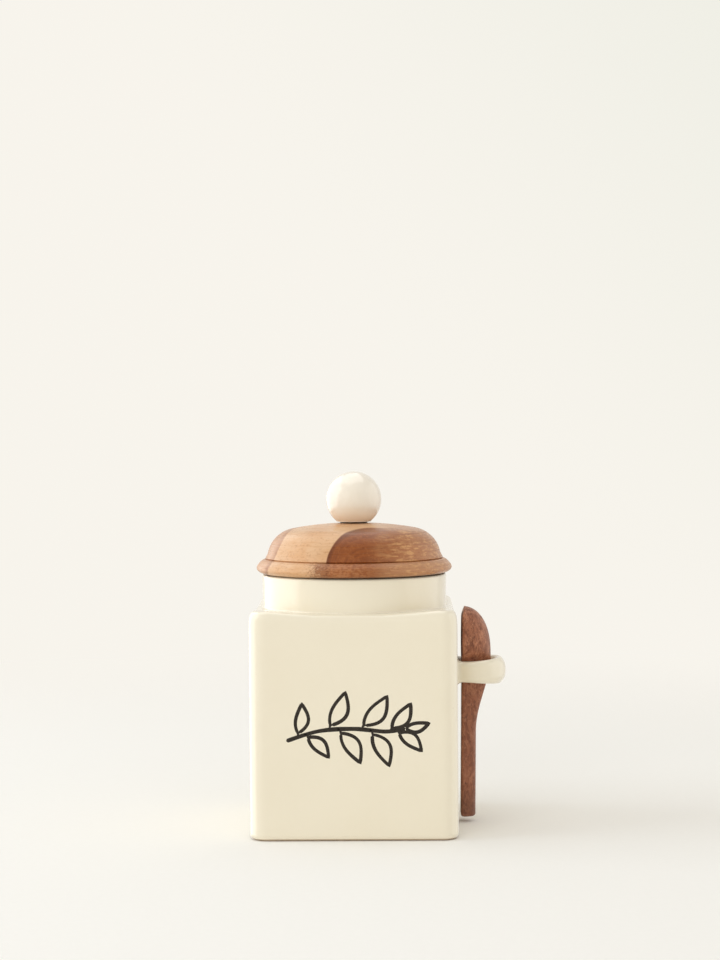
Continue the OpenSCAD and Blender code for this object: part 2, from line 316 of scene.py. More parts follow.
class Finish:
    """A node material with short ways to add and join its nodes"""

    def __init__(self, name):
        self.material = bpy.data.materials.new(name)
        self.material.use_nodes = True
        self.tree = self.material.node_tree
        self.shader = self.tree.nodes["Principled BSDF"]
        self.place = self.add("ShaderNodeTexCoord").outputs["Object"]

    def put(self, socket, value):
        """Sets a socket to a value, or joins it to another node's output"""
        if isinstance(value, bpy.types.NodeSocket):
            self.tree.links.new(value, socket)
        elif isinstance(value, (tuple, list)) and len(value) == 3 and len(socket.default_value) == 4:
            socket.default_value = (*value, 1.0)
        else:
            socket.default_value = value

    def add(self, kind, settings=None, **inputs):
        """Adds a node. Inputs are named with _ for a space, or by number as i0, i1"""
        node = self.tree.nodes.new(kind)
        for key, value in (settings or {}).items():
            setattr(node, key, value)
        for key, value in inputs.items():
            index = int(key[1:]) if key[0] == "i" and key[1:].isdigit() else key.replace("_", " ")
            self.put(node.inputs[index], value)
        return node

    def noise(self, scale, detail=2.0, roughness=0.5, vector=None, distortion=0.0):
        """Soft random values, where scale is how many features there are in a metre"""
        return self.add("ShaderNodeTexNoise", Vector=vector or self.place, Scale=scale,
                        Detail=detail, Roughness=roughness, Distortion=distortion).outputs["Fac"]

    def math(self, operation, a, b=0.0, c=0.0):
        """Any operation on up to three numbers"""
        return self.add("ShaderNodeMath", {"operation": operation}, i0=a, i1=b, i2=c).outputs[0]

    def times(self, a, b):
        """The product of two numbers"""
        return self.math("MULTIPLY", a, b)

    def plus(self, a, b):
        """The sum of two numbers"""
        return self.math("ADD", a, b)

    def minus(self, a, b):
        """The difference of two numbers"""
        return self.math("SUBTRACT", a, b)

    def xyz(self):
        """The three coordinates of a place"""
        return self.add("ShaderNodeSeparateXYZ", i0=self.place).outputs

    def from_axis(self, xyz):
        """Distance from the upright axis"""
        return self.math("SQRT", self.plus(self.times(xyz[0], xyz[0]), self.times(xyz[1], xyz[1])))

    def joined(self, x, y=0.0):
        """A place made of one or two numbers"""
        return self.add("ShaderNodeCombineXYZ", X=x, Y=y).outputs[0]

    def ramp(self, value, low, high, to_low=0.0, to_high=1.0):
        """Maps low..high smoothly to to_low..to_high and holds the ends"""
        node = self.add("ShaderNodeMapRange", {"interpolation_type": "SMOOTHSTEP"}, Value=value,
                        From_Min=low, From_Max=high, To_Min=to_low, To_Max=to_high)
        return node.outputs["Result"]

    def mix(self, share, a, b, how="MIX"):
        """Mixes two colours by a share"""
        node = self.add("ShaderNodeMix", {"data_type": "RGBA", "blend_type": how})
        self.put(node.inputs[0], share)
        self.put(node.inputs[6], a)
        self.put(node.inputs[7], b)
        return node.outputs[2]

    def stretch(self, scale, place=None):
        """Places stretched by a factor along each axis"""
        return self.add("ShaderNodeMapping", Vector=place or self.place, Scale=scale).outputs["Vector"]

    def bump(self, height, distance):
        """A bump as high as the distance where the height goes from 0 to 1"""
        node = self.add("ShaderNodeBump", Height=height, Distance=distance, Strength=1.0)
        return node.outputs["Normal"]

    def set(self, **inputs):
        """Sets or joins the shader's own sockets"""
        for key, value in inputs.items():
            self.put(self.shader.inputs[key.replace("_", " ")], value)


def glaze_finish(name, colour, colours):
    """Glossy glaze: soft clouds, faint pinholes, a few iron specks, a slow ripple"""
    f = Finish(name)
    clouds = f.noise(34, 3, 0.55)
    fine = f.noise(420, 2, 0.5)
    tone = f.plus(f.times(clouds, 0.8), f.times(fine, 0.2))
    base = f.mix(f.ramp(tone, 0.35, 0.75, 0.0, 0.22), colour, colours.glaze_thin[:])
    cells = f.add("ShaderNodeTexVoronoi", {"feature": "F1"}, Vector=f.place, Scale=260.0)
    rare = f.ramp(cells.outputs["Color"], 0.82, 0.9)
    speck = f.times(f.ramp(cells.outputs["Distance"], 0.05, 0.13, 1.0, 0.0), rare)
    base = f.mix(f.times(speck, 0.22), base, colours.glaze_speck[:])
    ripple = f.noise(70, 2, 0.5)
    peel = f.noise(700, 1, 0.5)
    height = f.plus(ripple, f.times(peel, 0.06))
    height = f.minus(height, f.times(speck, 0.25))
    f.set(Base_Color=base, Roughness=f.ramp(fine, 0.3, 0.7, 0.19, 0.25), Normal=f.bump(height, 0.00016))
    f.set(IOR=1.56, Coat_Weight=0.6, Coat_Roughness=0.13)
    return f.material


def clay_finish(colours):
    """Unglazed stoneware: dry, sandy, with small dark grains; its tone is kept dark, partly as painted
    shade for the line at the jar's foot
    """
    f = Finish("bare_stoneware")
    sand = f.noise(1500, 3, 0.6)
    cloud = f.noise(60, 2, 0.5)
    pale, grain_brown = (0.60, 0.48, 0.35), (0.30, 0.20, 0.13)
    base = f.mix(f.ramp(cloud, 0.3, 0.7, 0.0, 0.4), colours.clay[:], pale)
    base = f.mix(f.ramp(sand, 0.62, 0.72, 0.0, 0.6), base, grain_brown)
    f.set(Base_Color=base, Roughness=f.ramp(sand, 0.3, 0.7, 0.78, 0.92), Normal=f.bump(sand, 0.00012))
    f.set(IOR=1.45)
    return f.material


def ink_finish(colours):
    """Dark brush colour under the clear glaze, thinner in places"""
    f = Finish("underglaze_ink")
    wash = f.noise(260, 3, 0.6)
    thin = (0.040, 0.028, 0.017)
    base = f.mix(f.ramp(wash, 0.5, 0.75, 0.0, 0.35), colours.ink[:], thin)
    f.set(Base_Color=base, Roughness=f.ramp(wash, 0.3, 0.7, 0.2, 0.32),
          Normal=f.bump(f.noise(500, 2, 0.5), 0.00004))
    f.set(IOR=1.5, Specular_IOR_Level=0.3, Coat_Weight=0.08, Coat_Roughness=0.08)
    return f.material


def lid_heart(f, xyz, waver):
    """How far out a place is in the heart, from 0 in its middle to 1 at its boundary. The
    heart lies under an arch across the lid, steep at its left and long at its right"""
    middle_x, middle_z = 0.0105, 0.119
    reach_left, reach_right, reach_up = 0.0229, 0.036, 0.0241
    off = f.minus(xyz[0], middle_x)
    left = f.times(f.math("MAXIMUM", f.times(off, -1.0), 0.0), 1 / reach_left)
    right = f.times(f.math("MAXIMUM", off, 0.0), 1 / reach_right)
    up = f.times(f.math("MAXIMUM", f.minus(xyz[2], middle_z), 0.0), 1 / reach_up)
    cubes = f.plus(f.math("POWER", f.plus(left, right), 3.0), f.math("POWER", up, 3.0))
    return f.math("MULTIPLY_ADD", waver, 0.10, f.math("POWER", cubes, 1 / 3))


def lid_dark(f, heart, on_rim):
    """Where the wood is dark: crisply bounded on the dome, mottled on the rim moulding"""
    mottle = f.math("MULTIPLY_ADD", f.noise(900, 3, 0.7), 0.9, -0.45)
    mottled = f.ramp(f.plus(heart, mottle), 0.90, 1.42, 1.0, 0.0)
    crisp = f.ramp(heart, 0.985, 1.015, 1.0, 0.0)
    return f.plus(f.times(mottled, on_rim), f.times(crisp, f.minus(1.0, on_rim)))


def lid_left_edge(f, xyz, waver):
    """The brown edge at the left, beyond a plane that leans over the lid, and its dark joint"""
    plane = f.math("MULTIPLY_ADD", xyz[1], -0.25, xyz[0])
    plane = f.math("MULTIPLY_ADD", xyz[2], -0.40, plane)
    plane = f.math("MULTIPLY_ADD", waver, 0.004, plane)
    pale_from, brown_from, joint_end = -0.0828, -0.0838, -0.0868
    edge = f.ramp(plane, brown_from, pale_from, 1.0, 0.0)
    return edge, f.times(edge, f.ramp(plane, joint_end, brown_from))


def lid_pale_wood(f, colours, cloud, fibre, lathe):
    """The sapwood, with warm clouds, brown fibres and faint tool marks"""
    warm, brown, tooled = (0.66, 0.36, 0.165), (0.56, 0.28, 0.115), (0.54, 0.275, 0.12)
    wood = f.mix(f.ramp(cloud, 0.35, 0.7, 0.0, 0.75), colours.sapwood[:], warm)
    wood = f.mix(f.ramp(fibre, 0.48, 0.7, 0.0, 0.45), wood, brown)
    return f.mix(f.ramp(lathe, 0.52, 0.72, 0.0, 0.5), wood, tooled)


def lid_heart_wood(f, colours, rings, cloud, fibre, lathe, to_right):
    """The heartwood, with its growth rings, which turns golden brown towards the right"""
    ring_brown, spot_brown = (0.32, 0.088, 0.016), (0.40, 0.135, 0.035)
    gold, tooled = (0.70, 0.375, 0.155), (0.20, 0.05, 0.008)
    spots = f.noise(520, 3, 0.65)
    wood = f.mix(f.ramp(rings, 0.42, 0.62, 0.0, 0.6), colours.heartwood[:], ring_brown)
    wood = f.mix(f.ramp(spots, 0.46, 0.66, 0.0, 0.45), wood, spot_brown)
    brown = f.times(to_right, f.ramp(cloud, 0.2, 0.5, 0.65, 1.0))
    wood = f.mix(brown, wood, colours.midwood[:])
    golden = f.times(f.ramp(fibre, 0.47, 0.62), to_right)
    wood = f.mix(f.times(golden, 0.75), wood, gold)
    return f.mix(f.ramp(lathe, 0.52, 0.70, 0.0, 0.5), wood, tooled)


def lid_wood_finish(colours):
    """Oiled turned wood: pale in front, a dark heart under an arch, a brown edge at the left"""
    f = Finish("turned_lid_wood")
    xyz = f.xyz()
    from_axis = f.from_axis(xyz)
    waver = f.minus(f.noise(42, 2, 0.5), 0.5)
    on_rim = f.ramp(xyz[2], 0.1272, 0.1282, 1.0, 0.0)
    heart = lid_heart(f, xyz, waver)
    dark = lid_dark(f, heart, on_rim)
    edge, joint = lid_left_edge(f, xyz, waver)

    # Growth rings follow the arch, fibres run across the lid and tool marks run round it
    rings = f.noise(17, 3, 0.6, vector=f.joined(heart, f.times(xyz[1], 2.0)))
    fibre = f.noise(1.0, 4, 0.65, vector=f.stretch((110.0, 300.0, 900.0)))
    fleck = f.noise(1.0, 2, 0.5, vector=f.stretch((700.0, 700.0, 1300.0)))
    lathe = f.noise(1500, 3, 0.6, vector=f.joined(from_axis, xyz[2]))
    cloud = f.noise(75, 3, 0.6)
    to_right = f.ramp(xyz[0], 0.004, 0.030)

    pale = lid_pale_wood(f, colours, cloud, fibre, lathe)
    pale = f.mix(f.ramp(xyz[0], 0.008, 0.028, 0.0, 0.75), pale, colours.midwood[:])
    base = f.mix(dark, pale, lid_heart_wood(f, colours, rings, cloud, fibre, lathe, to_right))

    # The heart's own dark boundary, then the redder, brighter rim moulding
    boundary, red, painted_gap_shade = (0.13, 0.034, 0.010), (0.52, 0.22, 0.085), (0.035, 0.012, 0.004)
    outermost = f.times(f.ramp(heart, 0.90, 0.985), dark)
    base = f.mix(f.times(outermost, f.ramp(xyz[0], -0.004, 0.016, 0.75, 0.0)), base, boundary)
    blush = f.times(f.times(on_rim, dark), f.ramp(fleck, 0.40, 0.66, 0.15, 0.75))
    base = f.mix(f.times(blush, f.ramp(xyz[0], -0.004, 0.016, 1.0, 0.3)), base, red)
    bright = f.times(on_rim, f.ramp(xyz[0], 0.006, 0.02, 0.0, 0.18))
    base = f.mix(bright, base, colours.sapwood[:])

    # The brown edge with its joint, and painted shade: a dark line under the moulding that darkens the gap
    # above the neck
    edge_pale, edge_brown, joint_brown = (0.58, 0.30, 0.15), (0.46, 0.215, 0.10), (0.27, 0.08, 0.02)
    base = f.mix(f.times(edge, 0.85), base, f.mix(f.ramp(cloud, 0.3, 0.7), edge_pale, edge_brown))
    base = f.mix(f.times(joint, 0.5), base, joint_brown)
    # Painted shade: a dark band on the moulding's underside near the rest, stronger to the right
    under = f.times(f.ramp(xyz[2], 0.1208, 0.1218, 1.0, 0.0), f.ramp(from_axis, 0.0405, 0.0420))
    base = f.mix(f.times(under, f.ramp(xyz[0], -0.035, -0.005, 0.35, 0.9)), base, painted_gap_shade)
    fleck_brown = (0.45, 0.24, 0.13)
    base = f.mix(f.ramp(fleck, 0.54, 0.72, 0.0, 0.3), base, fleck_brown, "MULTIPLY")
    height = f.plus(lathe, f.times(fleck, 0.5))
    f.set(Base_Color=base, Roughness=f.ramp(lathe, 0.3, 0.7, 0.25, 0.38), Normal=f.bump(height, 0.00006))
    f.set(IOR=1.45, Specular_IOR_Level=0.32, Coat_Weight=0.05, Coat_Roughness=0.2)
    return f.material


def spoon_wood_finish(colours):
    """Dark oiled wood with long fibres and open pores along the handle"""
    f = Finish("carved_spoon_wood")
    figure_brown = (0.52, 0.22, 0.115)
    foot_brown = (0.115, 0.042, 0.02)
    pore_brown = (0.085, 0.028, 0.014)
    shift = f.joined(f.times(f.noise(40, 2, 0.5), 0.009))
    place = f.add("ShaderNodeVectorMath", {"operation": "ADD"}, i0=f.place, i1=shift).outputs[0]
    grain = f.noise(1.0, 4, 0.6, vector=f.stretch((640.0, 520.0, 130.0), place), distortion=0.6)
    pores = f.noise(1.0, 2, 0.5, vector=f.stretch((2100.0, 2100.0, 700.0), place))
    figure = f.noise(1.0, 3, 0.6, vector=f.stretch((430.0, 380.0, 300.0), place), distortion=1.2)
    height = f.xyz()[2]
    base = f.mix(f.ramp(grain, 0.36, 0.68), colours.spoon[:], colours.spoon_dark[:])
    base = f.mix(f.ramp(figure, 0.46, 0.66, 0.0, 0.75), base, figure_brown)
    base = f.mix(f.ramp(height, 0.045, 0.085, 0.38, 0.0), base, colours.spoon_dark[:])
    base = f.mix(f.ramp(height, 0.006, 0.020, 0.55, 0.0), base, foot_brown)
    base = f.mix(f.ramp(pores, 0.58, 0.70, 0.0, 0.7), base, pore_brown)
    relief = f.minus(f.times(grain, 0.6), f.ramp(pores, 0.58, 0.74))
    f.set(Base_Color=base, Roughness=f.ramp(grain, 0.3, 0.7, 0.34, 0.5), Normal=f.bump(relief, 0.00008))
    f.set(IOR=1.45, Specular_IOR_Level=0.4)
    return f.material


def silicone_finish(colours):
    """Milky soft silicone with a dusty bloom"""
    f = Finish("milky_silicone")
    dust = f.noise(600, 2, 0.5)
    bloom = (0.70, 0.70, 0.66)
    base = f.mix(f.ramp(dust, 0.4, 0.7, 0.0, 0.3), colours.silicone[:], bloom)
    f.set(Base_Color=base, Roughness=f.ramp(dust, 0.3, 0.7, 0.4, 0.55), Normal=f.bump(dust, 0.00003))
    f.set(IOR=1.42, Subsurface_Weight=0.25, Subsurface_Scale=0.002)
    return f.material


def rubber_finish(colours):
    """Dull dark brown rubber"""
    f = Finish("dull_rubber")
    dust = f.noise(900, 3, 0.6)
    dusty = (0.06, 0.055, 0.05)
    base = f.mix(f.ramp(dust, 0.4, 0.75, 0.0, 0.5), colours.rubber[:], dusty)
    f.set(Base_Color=base, Roughness=f.ramp(dust, 0.3, 0.7, 0.65, 0.85), Normal=f.bump(dust, 0.00003))
    f.set(IOR=1.5)
    return f.material


def metal_finish(name, colour, dull):
    """Turned metal: fine marks round the axis and a little tarnish"""
    f = Finish(name)
    xyz = f.xyz()
    turning = f.noise(6000, 1, 0.5, vector=f.joined(f.from_axis(xyz), xyz[2]))
    tarnish = f.noise(300, 3, 0.6)
    base = f.mix(f.ramp(tarnish, 0.45, 0.75, 0.0, 0.6), colour, dull)
    f.set(Base_Color=base, Roughness=f.ramp(turning, 0.3, 0.7, 0.2, 0.38), Normal=f.bump(turning, 0.00001))
    f.set(Metallic=1.0)
    return f.material


def cream_glaze(colours):
    """The glaze that the jar and its ring share"""
    name = "cream_glaze"
    return bpy.data.materials.get(name) or glaze_finish(name, colours.glaze[:], colours)


def plated_steel(colours):
    """The steel that the screw and its washer share"""
    name = "plated_steel"
    tarnished = (0.42, 0.42, 0.41)
    return bpy.data.materials.get(name) or metal_finish(name, colours.steel[:], tarnished)


# The jar


def square_reach(half, r, turn):
    """Distance from the axis to the outline of a square with round corners"""
    off = abs((turn + pi / 4) % (pi / 2) - pi / 4)
    if half * tan(off) <= half - r:
        return half / cos(off)
    mid = (half - r) * (cos(off) + sin(off))
    return mid + sqrt(mid * mid - 2 * (half - r) ** 2 + r * r)


def square_turns(half, r):
    """Directions round the jar, closer together at the corners"""
    side_steps = 15
    corner_steps = 9
    eighth = [atan2((half - r) * i / side_steps, half) for i in range(side_steps + 1)]
    for i in range(1, corner_steps + 1):
        a = pi / 4 * i / corner_steps
        eighth.append(atan2(half - r + r * sin(a), half - r + r * cos(a)))
    quarter = [-a for a in reversed(eighth[1:])] + eighth[:-1]
    return [q * pi / 2 + a for q in range(4) for a in quarter]


def wall_inset(sizes, x, y, z):
    """How far the glazed wall stays inside the square: a slow hand-made waver"""
    waves_per_metre = 22.0
    start = Vector((3.1, 7.7, 1.9))
    soft = noise.noise(Vector((x, y, z)) * waves_per_metre + start)
    return HAIR + sizes.waver * (0.5 + 0.5 * soft)


def shoulder_share(half, r, turn):
    """How near a direction is to a corner: along the side, and in the last part"""
    off = abs((turn + pi / 4) % (pi / 2) - pi / 4)
    along = min(half * tan(off) / (half - r), 1.0)
    corner = blend(radians(33), radians(45), off)
    return along, corner


def bezier(a, b, c, d, t):
    """A point of a curve from a to d that leaves towards b and arrives from c"""
    s = 1 - t
    return tuple(s ** 3 * a[i] + 3 * s * s * t * b[i] + 3 * s * t * t * c[i] + t ** 3 * d[i]
                 for i in (0, 1))


def square_ring(half, r, turns, z):
    """One level of a square with round corners"""
    return [polar(square_reach(half, r, t), t, z) for t in turns]


def jar_foot(s, turns):
    """The recess, the bare land and the rounded foot, and how many of these rings are bare"""
    half = s.width / 2
    land_in = half - s.foot - s.land
    ease = 0.3 * MM
    corner_share = 0.6
    foot_steps = 7
    bare_steps = 3
    rings = [[(0.0, 0.0, s.recess)] * len(turns)]
    for share in (0.35, 0.7, 0.95):
        rings.append(square_ring(land_in * share, s.corner * share, turns, s.recess))
    rings.append(square_ring(land_in - ease, s.corner - ease, turns, s.recess))
    rings.append(square_ring(land_in, s.corner, turns, s.recess - ease))
    rings.append(square_ring(land_in, s.corner, turns, ease))
    rings.append(square_ring(land_in + ease, s.corner + ease, turns, 0.0))
    rings.append(square_ring(half - s.foot, s.corner - corner_share * s.foot, turns, 0.0))
    clay_rows = len(rings) + bare_steps
    for i in range(1, foot_steps + 1):
        a = pi / 2 * i / foot_steps
        inset = s.foot * (1 - sin(a))
        corner = s.corner - corner_share * inset
        rings.append(square_ring(half - inset - HAIR * sin(a), corner, turns, s.foot * (1 - cos(a))))
    return rings, clay_rows


def jar_wall(s, turns):
    """The walls, up to the height where the shoulder starts to round"""
    half = s.width / 2
    wall_steps = 40
    tops = []
    for t in turns:
        along, corner = shoulder_share(half, s.corner, t)
        tops.append(s.top - s.edge_rise - s.side_fall * along ** 2 - s.corner_fall * corner)
    rings = []
    for i in range(wall_steps + 1):
        ring = []
        for t, top in zip(turns, tops):
            z = s.foot + (top - s.foot) * (i / wall_steps)
            inset = wall_inset(s, *polar(square_reach(half, s.corner, t), t, z))
            ring.append(polar(square_reach(half - inset, s.corner, t), t, z))
        rings.append(ring)
    return rings


def jar_shoulder(s, turns, wall_end):
    """The shoulder: a rounding that gets boxier to the corners, then flat in to the neck"""
    edge_steps = 14
    flat_steps = 5
    rings = []
    for i in range(1, edge_steps + flat_steps + 1):
        ring = []
        for t, (x, y, low) in zip(turns, wall_end):
            along = shoulder_share(s.width / 2, s.corner, t)[0]
            reach = hypot(x, y)
            room = reach - s.neck - s.fillet
            edge = min(s.edge_width * reach / max(abs(x), abs(y)), room)
            high = s.top + s.corner_rise * along ** 2
            if i <= edge_steps:
                power = 1 / (1 + along)
                a = pi / 2 * i / edge_steps
                r = reach - edge * (1 - max(cos(a), 0.0) ** power)
                z = low + (high - low) * sin(a) ** power
            else:
                share = (i - edge_steps) / flat_steps
                r = reach - edge - (room - edge) * share
                z = high + (s.top - high) * blend(0.0, 1.0, share)
            ring.append(polar(r, t, z))
        rings.append(ring)
    return rings


def jar_neck(s, turns):
    """The neck, from the fillet on the shoulder over the lip to the start of its bore"""
    fillet_top = s.top + s.fillet
    lip_low = s.mouth - s.lip
    bore = s.neck - s.wall
    neck_steps = 12
    outline = arc((s.neck + s.fillet, fillet_top), s.fillet, 270, 180, 6)[1:]
    for i in range(1, neck_steps + 1):
        share = i / neck_steps
        outline.append((s.neck + s.flare * share ** 2, fillet_top + (lip_low - fillet_top) * share))
    outline += arc((s.neck + s.flare - s.lip, lip_low), s.lip, 0, 90, 7)[1:]
    outline += arc((bore + s.lip, lip_low), s.lip, 90, 180, 7)
    return [round_ring(r, turns, z) for r, z in outline]


def jar_inside(s, turns):
    """The inside: down the bore, out under the shoulder, down the walls and over the floor"""
    half = s.width / 2 - s.wall
    bore = s.neck - s.wall
    under = s.top - s.wall
    lip_low = s.mouth - s.lip
    bore_steps = 6
    under_steps = 12
    wall_steps = 16
    foot_steps = 6
    corner_share = 0.9
    rings = []
    for i in range(1, bore_steps + 1):
        rings.append(round_ring(bore, turns, lip_low + (under - lip_low) * i / bore_steps))
    for i in range(1, under_steps + 1):
        ring = []
        for t in turns:
            along, corner = shoulder_share(half, s.inner_corner, t)
            fall = s.under_fall + 0.8 * s.side_fall * along ** 2 + s.corner_fall * corner
            end = (square_reach(half, s.inner_corner, t), under - fall)
            leave = (bore + 0.5 * (end[0] - bore), under)
            arrive = (end[0], end[1] + 0.6 * fall)
            r, z = bezier((bore, under), leave, arrive, end, i / under_steps)
            ring.append(polar(r, t, z))
        rings.append(ring)
    foot_top = s.floor + s.inner_foot
    wall_top = rings[-1]
    for i in range(1, wall_steps + 1):
        rings.append([(x, y, z + (foot_top - z) * i / wall_steps) for x, y, z in wall_top])
    for i in range(1, foot_steps + 1):
        a = pi / 2 * i / foot_steps
        inset = s.inner_foot * (1 - cos(a))
        corner = s.inner_corner - corner_share * inset
        rings.append(square_ring(half - inset, corner, turns, s.floor + s.inner_foot * (1 - sin(a))))
    for share in (0.85, 0.6, 0.3):
        corner = (s.inner_corner - corner_share * s.inner_foot) * share
        rings.append(square_ring((half - s.inner_foot) * share, corner, turns, s.floor))
    rings.append([(0.0, 0.0, s.floor)] * len(turns))
    return rings


def jar_rings(s):
    """The jar's surface as rings from the middle of the recess to that of the floor"""
    turns = square_turns(s.width / 2, s.corner)
    rings, clay_rows = jar_foot(s, turns)
    rings += jar_wall(s, turns)
    rings += jar_shoulder(s, turns, rings[-1])
    rings += jar_neck(s, turns)
    rings += jar_inside(s, turns)
    return rings, clay_rows


class SALTJAR_OT_jar(Operator):
    """Make the glazed jar, one closed skin from its bare foot to its inside floor"""
    bl_idname = "salt_jar.jar"
    bl_label = "Jar"

    def execute(self, context):
        settings = context.scene.salt_jar
        colours = settings.colours
        rings, clay_rows = jar_rings(settings.jar)
        points, faces = skin(rings)
        count = len(rings[0])
        finish = [1 if i // count < clay_rows else 0 for i in range(len(faces))]
        add_piece("glazed_jar", points, faces, "jar", [cream_glaze(colours), clay_finish(colours)],
                  "jar", finish, sharp=60.0)
        return {"FINISHED"}


# The ring on the jar's side


def ring_section(s):
    """The ring's section as offsets from its middle and the outward direction there"""
    across = s.thick / 2 - s.edge
    up = s.height / 2 - s.edge
    corners = [(across, up, 0), (-across, up, 90), (-across, -up, 180), (across, -up, 270)]
    edge_steps = 8
    section = []
    for x, z, start in corners:
        for i in range(edge_steps + 1):
            a = radians(start + 90 * i / edge_steps)
            section.append((x + s.edge * cos(a), z + s.edge * sin(a), cos(a), sin(a)))
        if start in (90, 270):
            side = 1 if start == 270 else -1
            for z_share in (-0.6, -0.2, 0.2, 0.6):
                section.append((side * s.thick / 2, side * up * z_share, side, 0.0))
    return section


def ring_levels(s, wall):
    """The ring's sections in turn, from one end in the wall round to the other. It is taller
    and rounder at its far end, and each end spreads into a fillet on the wall"""
    middle = s.reach - s.outside
    mean = s.outside - s.thick / 2
    mid_z = s.bottom + s.height / 2
    sink = 0.5 * MM
    steps = 96
    rings = []
    for i in range(steps + 1):
        share = 2 * i / steps - 1
        far_end = max(cos(2 * share), 0.0) ** 2
        ring = []
        for across, up, out_r, out_z in ring_section(s):
            outward = max(across / (s.thick / 2), 0.0)
            r = mean + across - s.bulge * far_end * outward * (2 * abs(up) / s.height) ** 2.5
            up *= 1 + s.swell * far_end
            end = acos((wall - sink - middle) / r)
            a = end * (1 - (1 - abs(share)) ** 1.25) * (1 if share >= 0 else -1)
            x = middle + r * cos(a)
            y = r * sin(a)
            away = max(x - wall, 0.0)
            grow = s.fillet - sqrt(s.fillet ** 2 - (s.fillet - away) ** 2) if away < s.fillet else 0.0
            push_y = out_r * sin(a)
            push = hypot(push_y, out_z)
            if push > 1e-6:
                grow *= min(1.0, push * 1.3) / push
                y += grow * push_y
                up += grow * out_z
            ring.append((x, y, mid_z + up))
        rings.append(ring)
    return rings


class SALTJAR_OT_ring(Operator):
    """Make the spoon ring, which flares softly into the jar's side"""
    bl_idname = "salt_jar.ring"
    bl_label = "Spoon ring"

    def execute(self, context):
        settings = context.scene.salt_jar
        rings = ring_levels(settings.ring, settings.jar.width / 2)
        points, faces = skin(rings)
        count = len(rings[0])
        faces.append(tuple(range(count)))
        faces.append(tuple(len(points) - count + k for k in reversed(range(count))))
        add_piece("glazed_ring", points, faces, "jar", [cream_glaze(settings.colours)],
                  "spoon_ring", sharp=75.0)
        return {"FINISHED"}


# The painted sprig


def curve_points(nodes, steps):
    """A smooth line through a few points"""
    line = []
    ends = [nodes[0]] + list(nodes) + [nodes[-1]]
    for i in range(1, len(ends) - 2):
        p0, p1, p2, p3 = (Vector(p) for p in ends[i - 1:i + 3])
        for k in range(steps):
            t = k / steps
            line.append(0.5 * (2 * p1 + (p2 - p0) * t + (2 * p0 - 5 * p1 + 4 * p2 - p3) * t * t
                               + (3 * p1 - p0 - 3 * p2 + p3) * t ** 3))
    line.append(Vector(nodes[-1]))
    return line


def brush_line(line, width, seed, height):
    """A brush line with round ends, as rings of points (across, up, proud)"""
    total = sum((b - a).length for a, b in zip(line, line[1:]))
    rings = []
    gone = 0.0
    sides = 8
    for i, p in enumerate(line):
        if i:
            gone += (p - line[i - 1]).length
        before = line[max(i - 1, 0)]
        after = line[min(i + 1, len(line) - 1)]
        along = (after - before).normalized()
        side = Vector((-along.y, along.x))
        press = 1 + 0.18 * noise.noise(Vector((gone * 90, seed * 3.7, 0.5)))
        half = width / 2 * press
        near_end = min(gone, total - gone)
        if near_end < half:
            half *= sqrt(max(1 - ((half - near_end) / half) ** 2, 0.0))
        ring = []
        for k in range(sides):
            a = 2 * pi * k / sides
            q = p + side * half * cos(a)
            ring.append((q.x, q.y, height * sin(a)))
        rings.append(ring)
    return rings


def sprig_lines():
    """The sprig's stem and leaf outlines, from the middle of the front face"""
    stem = curve_points([(-31 * MM, -5 * MM), (-16 * MM, -0.5 * MM), (0.0, 0.5 * MM),
                         (15 * MM, -0.8 * MM), (24 * MM, 0.6 * MM)], 14)
    lines = [(stem, 2.0 * MM)]
    # Each leaf's place on the stem, its lean in degrees and its length in millimetres
    leaves = [(6, 64, 15.5), (9, -62, 15.0), (18, 60, 19.0), (22, -60, 18.5), (31, 56, 19.5),
              (35, -56, 18.5), (44, 48, 16.0), (48, -50, 15.0), (56, 2, 11.0)]
    leaf_steps = 18
    for index, lean, size in leaves:
        base = stem[index]
        before = stem[max(index - 1, 0)]
        after = stem[min(index + 1, len(stem) - 1)]
        a = atan2(after.y - before.y, after.x - before.x) + radians(lean)
        along = Vector((cos(a), sin(a)))
        side = Vector((-sin(a), cos(a)))
        long = size * MM
        wide = 0.19 * long
        stalk = 0.12 * long if lean > 5 or lean < -5 else 0.0
        bend = 0.07 * long * (1 if lean > 0 else -1)

        def leaf(t, edge):
            """A point of the leaf's outline, t along it"""
            swell = sin(pi * t ** 0.85) * wide * edge
            return base + along * (stalk + (long - stalk) * t) + side * (swell - bend * sin(pi * t))

        outline = [leaf(i / leaf_steps, 1) for i in range(leaf_steps + 1)]
        outline += [leaf(1 - i / leaf_steps, -1) for i in range(1, leaf_steps + 1)]
        if stalk:
            outline = [base.copy()] + outline
        lines.append((outline, 1.6 * MM))
    return lines


class SALTJAR_OT_sprig(Operator):
    """Paint a plain leafy sprig on the jar's front"""
    bl_idname = "salt_jar.sprig"
    bl_label = "Painted sprig"

    def execute(self, context):
        settings = context.scene.salt_jar
        jar = settings.jar
        half = jar.width / 2
        mid_x, mid_z = 0.0, 51.5 * MM
        proud = 0.05 * MM
        points = []
        faces = []
        for seed, (line, width) in enumerate(sprig_lines()):
            rings = []
            for ring in brush_line(line, width, seed, proud):
                placed = []
                for across, up, out in ring:
                    x = mid_x + across
                    z = mid_z + up
                    face = -(half - wall_inset(jar, x, -half, z))
                    placed.append((x, face - out, z))
                rings.append(placed)
            start = len(points)
            new_points, new_faces = skin(rings)
            points += new_points
            faces += [tuple(start + v for v in face) for face in new_faces]
        add_piece("painted_sprig", points, faces, "jar", [ink_finish(settings.colours)], None,
                  sharp=80.0)
        return {"FINISHED"}


# The lid


